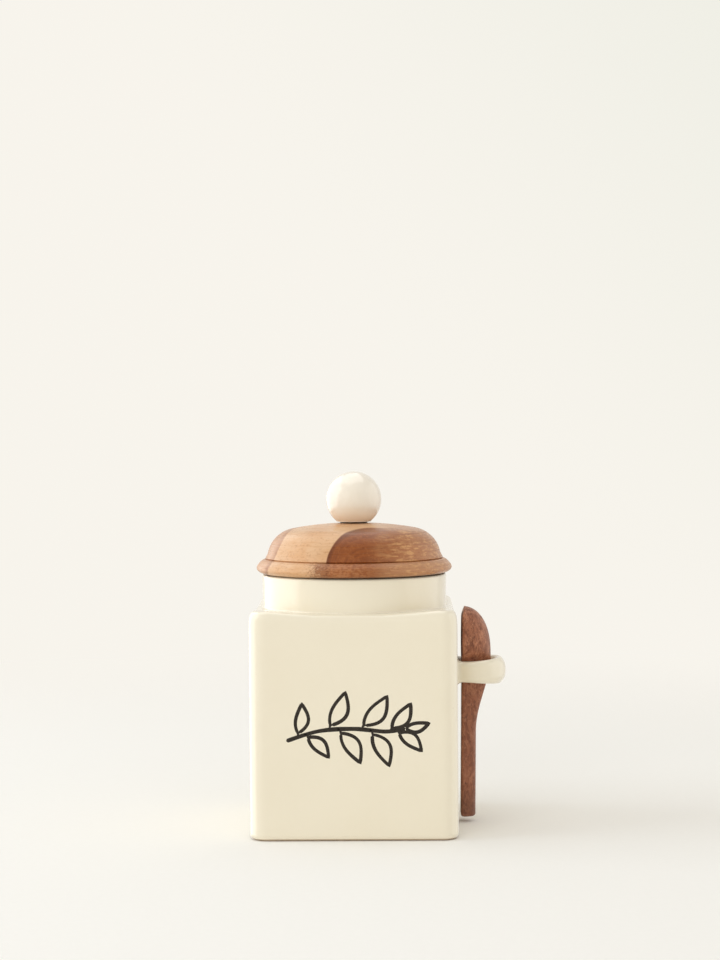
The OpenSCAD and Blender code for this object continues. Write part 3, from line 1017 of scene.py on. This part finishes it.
def lid_plug_outline(s):
    """From the screw hole out under the plug and up past the seal's groove to the face that
    rests on the jar, which is height 0 here"""
    ease = 0.4 * MM
    chamfer = 0.1 * MM
    face_steps = 12
    groove_low = SEAL_BOX[0].z - chamfer - s.bottom
    groove_high = SEAL_BOX[1].z + chamfer - s.bottom
    end = s.plug_end - s.bottom
    outline = [(s.bore, 0.0), (s.pocket - ease, 0.0), (s.pocket, -ease)]
    outline += [(s.pocket, end + ease), (s.pocket + ease, end)]
    outline += [(s.pocket + (s.plug - s.pocket) * i / face_steps, end) for i in range(1, face_steps)]
    outline += arc((s.plug - 2 * ease, end + 2 * ease), 2 * ease, 270, 360, 5)
    outline += [(s.plug, groove_low - chamfer), (s.plug - chamfer, groove_low), (s.groove, groove_low)]
    outline += [(s.groove, groove_high), (s.plug - chamfer, groove_high), (s.plug, groove_high + chamfer)]
    return outline + [(s.plug, -2 * chamfer), (s.plug + 2 * chamfer, 0.0)]


def lid_moulding_outline(s):
    """From the rest out under the rim moulding, round its tip and into the groove above it"""
    rest_steps = 4
    under_steps = 12
    over_steps = 15
    power = 2 / 1.45
    step = 0.1 * MM
    rest_end = s.radius - s.under
    brow = s.radius - s.dome - step
    deep = s.dome - s.quirk
    outline = [(s.plug + (rest_end - s.plug) * i / rest_steps, 0.0) for i in range(1, rest_steps)]
    for i in range(under_steps + 1):
        a = pi / 2 * i / under_steps
        outline.append((rest_end + s.under * sin(a), s.tip * (1 - cos(a))))
    for i in range(1, over_steps):
        a = pi / 2 * i / over_steps
        outline.append((s.dome + step + brow * cos(a) ** power,
                        s.tip + (s.moulding - s.tip) * sin(a) ** power))
    # The groove and the dome's foot, in millimetres out from a radius and up from the moulding
    edges = [(s.dome, 0.05, -0.1), (deep, 0.15, -0.1), (deep, 0.0, 0.05), (deep, 0.15, 0.25),
             (s.dome, -0.25, 0.4), (s.dome, -0.15, 0.6), (s.dome, -0.4, 1.1), (s.dome, -0.85, 1.9)]
    return outline + [(r + out * MM, s.moulding + up * MM) for r, out, up in edges]


def lid_top_outline(s):
    """Over the dome's round side and its flatter crown to the flat, and down the screw hole"""
    ease = 0.4 * MM
    side_from = 11
    bore_steps = 6
    rise = s.seat - s.bottom
    knuckle = rise - s.moulding - s.crown
    mid = (s.dome - knuckle - s.lean, s.moulding)
    crown_r = ((rise - s.moulding) ** 2 + mid[0] ** 2 - knuckle ** 2) / (2 * s.crown)
    crown_mid = rise - crown_r
    crown_from = degrees(atan2(s.moulding - crown_mid, mid[0]))
    crown_to = degrees(acos(s.flat / crown_r))
    outline = arc(mid, knuckle, side_from, crown_from, 30)
    outline += arc((0.0, crown_mid), crown_r, crown_from, crown_to, 28)[1:]
    flat_z = outline[-1][1]
    outline += [(s.flat * 0.7, flat_z), (s.bore + ease, flat_z), (s.bore, flat_z - ease)]
    return outline + [(s.bore, flat_z * i / bore_steps) for i in range(bore_steps - 1, 0, -1)]


def lid_outline(s):
    """The lid's closed outline: its plug, its rim moulding and its top"""
    outline = lid_plug_outline(s) + lid_moulding_outline(s) + lid_top_outline(s)
    return [(r, z + s.bottom) for r, z in outline]


class SALTJAR_OT_lid(Operator):
    """Make the turned wooden lid with its plug, its groove and its screw hole"""
    bl_idname = "salt_jar.lid"
    bl_label = "Lid"

    def execute(self, context):
        settings = context.scene.salt_jar
        points, faces = turned(lid_outline(settings.lid), 192)
        add_piece("turned_lid", points, faces, "lid", [lid_wood_finish(settings.colours)],
                  "lid", sharp=50.0)
        return {"FINISHED"}


class SALTJAR_OT_seal(Operator):
    """Make the soft seal with its two rounded lips"""
    bl_idname = "salt_jar.seal"
    bl_label = "Seal"

    def execute(self, context):
        settings = context.scene.salt_jar
        s = settings.lid
        low, high = SEAL_BOX[0].z, SEAL_BOX[1].z
        tip = SEAL_BOX[1].x
        inner = s.groove + HAIR
        lip = 0.4 * MM
        hollow = 0.3 * MM
        ease = 0.2 * MM
        hollow_r = s.plug + lip + hollow
        outline = [(inner + ease, low)]
        outline += arc((tip - lip, low + lip), lip, 270, 450, 8)
        outline += arc((hollow_r, low + 2 * lip + hollow), hollow, 270, 180, 4)
        outline += arc((hollow_r, high - 2 * lip - hollow), hollow, 180, 90, 4)
        outline += arc((tip - lip, high - lip), lip, 270, 450, 8)
        outline += [(inner + ease, high), (inner, high - ease), (inner, low + ease)]
        points, faces = turned(outline, 144)
        add_piece("silicone_seal", points, faces, "seal", [silicone_finish(settings.colours)],
                  "lid_seal", sharp=50.0)
        return {"FINISHED"}


# The knob and its fixing


class SALTJAR_OT_knob(Operator):
    """Make the glazed ball knob with its flat foot and its socket"""
    bl_idname = "salt_jar.knob"
    bl_label = "Knob"

    def execute(self, context):
        settings = context.scene.salt_jar
        s = settings.knob
        mid = s.top - s.ball
        turn_in = 0.4 * MM
        ease = 0.25 * MM
        start = degrees(asin((s.foot + turn_in - mid) / s.ball))
        meet = s.ball * cos(radians(start))
        outline = [(0.0, s.socket_end), (s.socket - ease, s.socket_end), (s.socket, s.socket_end - ease)]
        outline += [(s.socket, s.foot + ease), (s.socket + ease, s.foot)]
        outline += [(meet - 3 * ease, s.foot), (meet - ease, s.foot + 0.1 * ease), (meet, s.foot + ease)]
        outline += arc((0.0, mid), s.ball, start, 89, 72)
        outline += [(0.0, s.top)]
        points, faces = turned(outline, 144)
        colours = settings.colours
        whiter = (1.035, 1.03, 1.11)
        pale = tuple(c * lift for c, lift in zip(colours.glaze, whiter))
        add_piece("ball_knob", points, faces, "lid", [glaze_finish("knob_glaze", pale, colours)],
                  "knob", sharp=40.0)
        return {"FINISHED"}


def washer_outline(inner, outer, low, high, ease):
    """The outline of a washer with eased edges"""
    return [(inner + ease, low), (outer - ease, low), (outer, low + ease), (outer, high - ease),
            (outer - ease, high), (inner + ease, high), (inner, high - ease), (inner, low + ease)]


class SALTJAR_OT_washers(Operator):
    """Make the soft washer under the knob and the steel washer in the pocket"""
    bl_idname = "salt_jar.washers"
    bl_label = "Washers"

    def execute(self, context):
        settings = context.scene.salt_jar
        colours = settings.colours
        bore = settings.lid.bore
        turn_steps = 96
        outline = washer_outline(bore, PAD_BOX[1].x, PAD_BOX[0].z, PAD_BOX[1].z, 0.12 * MM)
        points, faces = turned(outline, turn_steps)
        add_piece("soft_washer", points, faces, "lid", [rubber_finish(colours)], "knob_pad")
        outline = washer_outline(bore, WASHER_BOX[1].x, WASHER_BOX[0].z, WASHER_BOX[1].z, 0.1 * MM)
        points, faces = turned(outline, turn_steps)
        add_piece("steel_washer", points, faces, "lid", [plated_steel(colours)], "screw_washer")
        return {"FINISHED"}


def screw_rings(pitch):
    """The screw's surface from the middle of its head to the end of its thread"""
    low, end = SCREW_BOX[0].z, SCREW_BOX[1].z
    head = SCREW_BOX[1].x
    head_top = WASHER_BOX[0].z
    crown = 0.35 * MM
    face = low + crown
    side = 0.9 * MM
    crest = 2.0 * MM
    root = 1.58 * MM
    neck_z = head_top + 0.15 * MM
    taper = 0.5 * MM
    taper_from = end - 0.6 * MM
    thread_from = PAD_BOX[1].z - 6 * MM
    levels_per_pitch = 5
    turns = even_turns(32)
    outline = [(0.0, low), (head * 0.35, face - 0.33 * MM), (head * 0.62, face - 0.2 * MM)]
    outline += arc((head - side, face + 0.8 * MM), side, 290, 360, 6)
    outline += [(head, head_top - 0.3 * MM), (head - 0.25 * MM, head_top)]
    outline += [(crest + 0.1 * MM, head_top), (crest, neck_z)]
    rings = [round_ring(r, turns, z) for r, z in outline]
    rows = ceil((end - head_top) * levels_per_pitch / pitch)
    for i in range(1, rows + 1):
        z = neck_z + (end - neck_z) * i / rows
        ring = []
        for t in turns:
            share = (z / pitch - t / (2 * pi)) % 1.0
            cut = min(1.0, 2.2 * abs(share - 0.5))
            depth = (crest - root) * (1 - cut) * blend(thread_from, thread_from + pitch, z)
            ring.append(polar(min(crest - depth, crest - taper * blend(taper_from, end, z)), t, z))
        rings.append(ring)
    rings.append([(0.0, 0.0, end)] * len(turns))
    return rings


class SALTJAR_OT_screw(Operator):
    """Make the pan-head screw with its cross recess and its thread"""
    bl_idname = "salt_jar.screw"
    bl_label = "Screw"

    def execute(self, context):
        settings = context.scene.salt_jar
        points, faces = skin(screw_rings(settings.knob.pitch))
        steel = plated_steel(settings.colours)
        screw = add_piece("pan_head_screw", points, faces, "lid", [steel], "knob_screw")
        self.cut_cross(screw, SCREW_BOX[0].z, SCREW_BOX[1].x)
        return {"FINISHED"}

    def cut_cross(self, screw, low, head):
        """Cuts a tapered cross into the head"""
        long, narrow, deep = 0.55 * head, 0.45 * MM, 1.5 * MM
        form = bmesh.new()
        for turn in (0, pi / 2):
            corners = []
            for z, share in ((low - 0.5 * MM, 1.15), (low + deep, 0.62)):
                for x, y in ((-long, -narrow), (long, -narrow), (long, narrow), (-long, narrow)):
                    a, b = x * share, y * share
                    corners.append(form.verts.new((a * cos(turn) - b * sin(turn),
                                                   a * sin(turn) + b * cos(turn), z)))
            form.faces.new(reversed(corners[:4]))
            form.faces.new(corners[4:])
            for i in range(4):
                j = (i + 1) % 4
                form.faces.new([corners[i], corners[j], corners[j + 4], corners[i + 4]])
        mesh = bpy.data.meshes.new("cross_cutter")
        form.to_mesh(mesh)
        form.free()
        cutter = bpy.data.objects.new("cross_cutter", mesh)
        bpy.context.scene.collection.objects.link(cutter)
        cut = screw.modifiers.new("cross", "BOOLEAN")
        cut.operation = "DIFFERENCE"
        cut.object = cutter
        cut.solver = "EXACT"
        cut.use_self = True
        view = bpy.context.evaluated_depsgraph_get()
        result = bpy.data.meshes.new_from_object(screw.evaluated_get(view), depsgraph=view)
        screw.modifiers.clear()
        screw.data = result
        bpy.data.objects.remove(cutter)
        result.set_sharp_from_angle(angle=radians(40))


def insert_rings(low, high, outside):
    """The insert's surface: a knurled waist between two plain ends, and a smooth bore"""
    bore = 2.05 * MM
    ease = 0.3 * MM
    knurl = 0.16 * MM
    end_step = 0.25 * MM
    round_off = 0.2 * MM
    knurls_round = 20
    knurls_up = 4200
    rows = 44
    turns = even_turns(120)
    middle = (low + high) / 2
    rings = []
    for i in range(rows + 1):
        z = low + (high - low) * i / rows
        waist = blend(0.0, 0.3 * MM, abs(z - middle) - 0.5 * MM)
        end = 1 - blend(0.0, 0.35 * MM, min(z - low, high - z))
        ring = []
        for t in turns:
            cross = max(sin(knurls_round * t + z * knurls_up), sin(knurls_round * t - z * knurls_up))
            cut = knurl * (1 - cross) / 2 * waist + end_step * (1 - waist) + round_off * end
            ring.append(polar(outside - cut, t, z))
        rings.append(ring)
    for r, z in ((bore + ease, high), (bore, high - ease), (bore, low + ease), (bore + ease, low)):
        rings.append(round_ring(r, turns, z))
    return rings + [rings[0]]


class SALTJAR_OT_insert(Operator):
    """Make the knurled brass insert that is glued into the knob"""
    bl_idname = "salt_jar.insert"
    bl_label = "Insert"

    def execute(self, context):
        settings = context.scene.salt_jar
        tarnished = (0.48, 0.31, 0.13)
        points, faces = skin(insert_rings(INSERT_BOX[0].z, INSERT_BOX[1].z, INSERT_BOX[1].x))
        brass = metal_finish("turned_brass", settings.colours.brass[:], tarnished)
        add_piece("brass_insert", points, faces, "lid", [brass], "knob_insert")
        return {"FINISHED"}


# The spoon


def spoon_half(s, z):
    """Half the spoon's width at a height"""
    if z > s.bowl_mid:
        share = min((z - s.bowl_mid) / (s.top - s.bowl_mid), 1.0)
        return s.bowl_width / 2 * sqrt(1 - share * share)
    low = s.bowl_mid - s.flare
    share = min(max((z - low) / s.flare, 0.0), 1.0)
    return s.handle_width / 2 + (s.bowl_width - s.handle_width) / 4 * (1 - cos(pi * share))


def spoon_depth(s, z):
    """The spoon's depth behind its flat face at a height"""
    belly = s.bowl_mid - s.belly
    if z > belly:
        fullness, bluntness = 2.3, 0.45
        share = min((z - belly) / (s.top - belly), 1.0)
        return s.bowl_depth * (1 - share ** fullness) ** bluntness
    share = min((belly - z) / s.back, 1.0)
    return s.handle_thick + (s.bowl_depth - s.handle_thick) / 2 * (1 + cos(pi * share))


def spoon_ring(s, z, inset=0.0):
    """One level of the spoon: the flat face with its hollow, then the round back"""
    half = max(spoon_half(s, z) - inset, 0.0)
    depth = max(spoon_depth(s, z) - 2 * inset, 0.0)
    hollow_half = s.bowl_width / 2 - s.rim
    hollow_long = s.top - s.bowl_mid - s.rim
    up = (z - s.bowl_mid) / hollow_long
    reach = sqrt(max(1 - up * up, 0.0))
    inside = abs(up) <= 1.0 + 1e-9
    slant_from, slant_to = s.top - 5.5 * MM, s.top + 1.5 * MM
    tip_back = s.slant * blend(slant_from, slant_to, z)
    face = s.face + inset + tip_back
    depth = max(depth - tip_back, 0.0)
    edge = min(s.edge, 0.35 * half, 0.35 * depth)
    lip = hollow_half * reach if inside else 0.45 * half
    hollow_steps = 16
    columns = []
    lip_drop = 0.12 * MM if inside else 0.0
    for i in range(hollow_steps + 1):
        a = pi * i / hollow_steps - pi / 2
        drop = lip_drop + (s.hollow - lip_drop) * reach * cos(a) if inside else 0.0
        columns.append((drop, lip * sin(a)))
    flat_end = half - edge
    outer = lip + min(0.35 * MM, 0.5 * max(flat_end - lip, 0.0))
    ring = [(face, -flat_end), (face, -(outer + flat_end) / 2), (face, -outer)]
    ring += [(face + drop, y) for drop, y in columns]
    ring += [(face, outer), (face, (outer + flat_end) / 2), (face, flat_end)]
    edge_steps = 4
    rounded = []
    for i in range(1, edge_steps + 1):
        a = pi / 2 * i / edge_steps
        rounded.append((face + edge * (1 - cos(a)), flat_end + edge * sin(a)))
    ring += rounded
    back_steps = 26
    first = asin(min(edge / depth, 1.0)) if depth > 0 else 0.0
    for i in range(1, back_steps):
        a = first + (pi - 2 * first) * i / back_steps
        ring.append((face + depth * sin(a), half * cos(a)))
    ring += [(x, -y) for x, y in reversed(rounded)]
    return [(x, y, z) for x, y in ring]


class SALTJAR_OT_spoon(Operator):
    """Make the carved spoon with its flat face, hollow bowl and round back"""
    bl_idname = "salt_jar.spoon"
    bl_label = "Spoon"

    def execute(self, context):
        settings = context.scene.salt_jar
        s = settings.spoon
        nose = s.top - s.bowl_mid
        long = nose - s.rim
        past = 0.35 * MM
        soft = 1.2 * MM
        low = s.bottom + soft
        high = s.bowl_mid - long - past
        foot_steps, handle_steps, bowl_steps, nose_steps = 5, 46, 28, 9
        rings = []
        for i in range(foot_steps + 1):
            a = pi / 2 * i / foot_steps
            rings.append(spoon_ring(s, s.bottom + soft * (1 - cos(a)), soft * (1 - sin(a))))
        for i in range(1, handle_steps + 1):
            rings.append(spoon_ring(s, low + (high - low) * i / handle_steps))
        for i in range(bowl_steps + 1):
            rings.append(spoon_ring(s, s.bowl_mid + long * sin(pi * (i / bowl_steps - 0.5))))
        rings.append(spoon_ring(s, s.bowl_mid + long + past))
        nose_from = asin((long + past) / nose)
        for i in range(1, nose_steps + 1):
            a = nose_from + (pi / 2 - nose_from) * i / nose_steps
            rings.append(spoon_ring(s, s.bowl_mid + nose * sin(a)))
        rings.insert(0, [(s.face + s.handle_thick / 2, 0.0, s.bottom)] * len(rings[0]))
        tilt = [[self.lean(p, s.face, RING_BOX[1].z, s.lean) for p in ring] for ring in rings]
        points, faces = skin(tilt)
        add_piece("carved_spoon", points, faces, "spoon", [spoon_wood_finish(settings.colours)],
                  "spoon", sharp=75.0)
        return {"FINISHED"}

    def lean(self, p, x0, z0, angle):
        """Turns a point about the ring's upper edge, so that the foot nears the jar"""
        x, z = p[0] - x0, p[2] - z0
        return (x0 + x * cos(angle) + z * sin(angle), p[1], z0 + z * cos(angle) - x * sin(angle))


# The studio


def paper_finish(studio):
    """Pale paper. Away from the jar the camera sees a plain tone, with painted shade that darkens it at
    the upper right, and near the jar it sees the lit sheet with the jar's shadow"""
    f = Finish("pale_paper")
    fibre_grey = (0.8, 0.78, 0.73)
    xyz = f.xyz()
    fibre = f.noise(300, 3, 0.6)
    f.set(Base_Color=f.mix(f.ramp(fibre, 0.3, 0.7, 0.0, 0.05), studio.paper[:], fibre_grey),
          Roughness=0.9, Specular_IOR_Level=0.1)
    far = f.math("MAXIMUM", f.ramp(f.from_axis(xyz), 0.24, 0.75), f.ramp(xyz[2], 0.0, 0.02))
    seen = f.times(far, f.add("ShaderNodeLightPath").outputs["Is Camera Ray"])
    # Painted shade: the plain tone the camera sees darkens towards the upper right
    slant = f.times(f.math("MULTIPLY_ADD", xyz[2], 0.7, xyz[0]), f.ramp(xyz[1], 0.4, 1.2))
    tone = f.mix(f.ramp(slant, 0.1, 1.9), studio.backdrop[:], studio.far_backdrop_shade[:])
    glow = f.add("ShaderNodeEmission", Color=tone, Strength=1.0).outputs[0]
    both = f.add("ShaderNodeMixShader", i0=seen, i1=f.shader.outputs[0], i2=glow).outputs[0]
    f.put(f.tree.nodes["Material Output"].inputs["Surface"], both)
    return f.material


class SALTJAR_OT_studio(Operator):
    """Set up the pale paper sweep, the light and the camera"""
    bl_idname = "salt_jar.studio"
    bl_label = "Studio"

    def execute(self, context):
        studio = context.scene.salt_jar.studio
        scene = context.scene
        scene.view_settings.view_transform = "Standard"
        self.make_sweep(studio)
        self.light_room(scene, studio)
        cool = (0.88, 0.975, 1.10)
        warm = (1.0, 0.985, 0.95)
        card = studio.card_power
        self.hang_lamp("window_light", studio.key_power, (1.5, 1.0), far=2.0, up=30, front=4, tint=cool)
        self.hang_lamp("fill_light", studio.fill_power, (1.2, 1.2), far=2.4, up=25, front=66, tint=warm)
        self.hang_lamp("left_card", card, (2.0, 1.8), far=1.2, up=16, front=-20, tint=warm, mirrored=True)
        self.hang_lamp("top_card", 0.45 * card, (1.4, 1.4), far=1.3, up=78, front=-60, tint=warm,
                       mirrored=True)
        self.hang_lamp("right_card", 0.22 * card, (1.5, 1.5), far=1.3, up=12, front=-172, tint=warm,
                       mirrored=True)
        self.place_camera(scene, studio)
        return {"FINISHED"}

    def make_sweep(self, studio):
        """A sheet of paper that lies flat and curves up far behind the jar"""
        wide = 9.0
        bend = 1.2
        back = 2.2
        profile = [(-wide, 0.0), (-2.0, 0.0), (0.0, 0.0), (1.0, 0.0)]
        profile += arc((back, bend), bend, 270, 360, 15)
        profile += [(back + bend, 3.0), (back + bend, 5.0)]
        points = []
        faces = []
        for y, z in profile:
            points += [(-wide, y, z), (0.0, y, z), (wide, y, z)]
        for i in range(len(profile) - 1):
            for k in (0, 1):
                faces.append((3 * i + k, 3 * i + k + 1, 3 * i + k + 4, 3 * i + k + 3))
        mesh = bpy.data.meshes.new("paper_sweep")
        mesh.from_pydata(points, [], faces)
        mesh.shade_smooth()
        sweep = bpy.data.objects.new("paper_sweep", mesh)
        sweep.visible_glossy = False
        bpy.context.scene.collection.objects.link(sweep)
        mesh.materials.append(paper_finish(studio))

    def light_room(self, scene, studio):
        """Even light all round, which camera and mirror rays see as the backdrop"""
        world = bpy.data.worlds.new("bright_room")
        scene.world = world
        world.use_nodes = True
        tree = world.node_tree
        room = tree.nodes["Background"]
        room.inputs["Color"].default_value = (1.0, 0.985, 0.955, 1.0)
        room.inputs["Strength"].default_value = studio.ambient
        paper = tree.nodes.new("ShaderNodeBackground")
        paper.inputs["Color"].default_value = (*studio.backdrop, 1.0)
        rays = tree.nodes.new("ShaderNodeLightPath").outputs
        share = rays["Is Camera Ray"]
        for kind in ("Is Glossy Ray", "Is Transmission Ray"):
            either = tree.nodes.new("ShaderNodeMath")
            either.operation = "MAXIMUM"
            tree.links.new(share, either.inputs[0])
            tree.links.new(rays[kind], either.inputs[1])
            share = either.outputs[0]
        mix = tree.nodes.new("ShaderNodeMixShader")
        tree.links.new(share, mix.inputs[0])
        tree.links.new(room.outputs[0], mix.inputs[1])
        tree.links.new(paper.outputs[0], mix.inputs[2])
        tree.links.new(mix.outputs[0], tree.nodes["World Output"].inputs["Surface"])

    def hang_lamp(self, name, power, size, far, up, front, tint, mirrored=False):
        """A wide soft lamp, so many degrees up and round from the left to the front.
        One that is mirrored only shows in gloss, as a white card does"""
        lamp = bpy.data.lights.new(name, "AREA")
        lamp.shape = "RECTANGLE"
        lamp.size = size[0]
        lamp.size_y = size[1]
        lamp.energy = power
        lamp.color = tint
        hung = bpy.data.objects.new(name, lamp)
        hung.visible_glossy = mirrored
        hung.visible_diffuse = not mirrored
        hung.visible_camera = False
        bpy.context.scene.collection.objects.link(hung)
        aim = Vector((0.0, 0.0, 0.08))
        up = radians(up)
        front = radians(front)
        way = Vector((-cos(up) * cos(front), -cos(up) * sin(front), sin(up)))
        facing = way.to_track_quat("Z", "Y").to_matrix().to_4x4()
        hung.matrix_world = Matrix.Translation(aim + way * far) @ facing

    def place_camera(self, scene, studio):
        """A camera just above the lid's height, a metre in front of the jar"""
        lens = bpy.data.cameras.new("camera")
        lens.lens = studio.lens
        lens.sensor_width = 36.0
        lens.clip_start = 0.01
        lens.clip_end = 50.0
        camera = bpy.data.objects.new("camera", lens)
        scene.collection.objects.link(camera)
        yaw = radians(0.973)
        pitch = radians(1.356)
        roll = radians(0.45)
        turn = Matrix.Rotation(yaw, 3, "Z")
        stand = turn @ Vector((0.00314, -0.965, 0.18816))
        ahead = turn @ Vector((0.0, cos(pitch), -sin(pitch)))
        right = turn @ Vector((1.0, 0.0, 0.0))
        up = right.cross(ahead)
        rolled_right = right * cos(roll) - up * sin(roll)
        rolled_up = right * sin(roll) + up * cos(roll)
        axes = Matrix((rolled_right, rolled_up, -ahead)).transposed()
        camera.matrix_world = Matrix.Translation(stand) @ axes.to_4x4()
        scene.camera = camera


class SALTJAR_PT_panel(Panel):
    """The salt jar's pieces and sizes in the sidebar"""
    bl_idname = "SALTJAR_PT_panel"
    bl_label = "Salt Jar"
    bl_space_type = "VIEW_3D"
    bl_region_type = "UI"
    bl_category = "Salt Jar"

    def draw(self, context):
        settings = context.scene.salt_jar
        column = self.layout.column(align=True)
        for step in STEPS:
            column.operator(step.bl_idname, text=step.bl_label)
        for part in ("jar", "ring", "lid", "knob", "spoon", "colours", "studio"):
            box = self.layout.box()
            group = getattr(settings, part)
            box.label(text=part.capitalize())
            for key in group.__annotations__:
                box.prop(group, key)


STEPS = (SALTJAR_OT_studio, SALTJAR_OT_jar, SALTJAR_OT_ring, SALTJAR_OT_sprig, SALTJAR_OT_lid,
         SALTJAR_OT_seal, SALTJAR_OT_knob, SALTJAR_OT_washers, SALTJAR_OT_screw, SALTJAR_OT_insert,
         SALTJAR_OT_spoon)
GROUPS = (JarSizes, RingSizes, LidSizes, KnobSizes, SpoonSizes, Colours, StudioSettings,
          SaltJarSettings)


def register():
    """Registers the settings, the operators and the panel"""
    for item in GROUPS + STEPS + (SALTJAR_PT_panel,):
        bpy.utils.register_class(item)
    bpy.types.Scene.salt_jar = PointerProperty(type=SaltJarSettings)


def unregister():
    """Takes them all away again"""
    del bpy.types.Scene.salt_jar
    for item in reversed(GROUPS + STEPS + (SALTJAR_PT_panel,)):
        bpy.utils.unregister_class(item)


def main():
    """Makes the whole jar"""
    register()
    for step in STEPS:
        group, name = step.bl_idname.split(".")
        getattr(getattr(bpy.ops, group), name)()


if __name__ == "__main__":
    main()
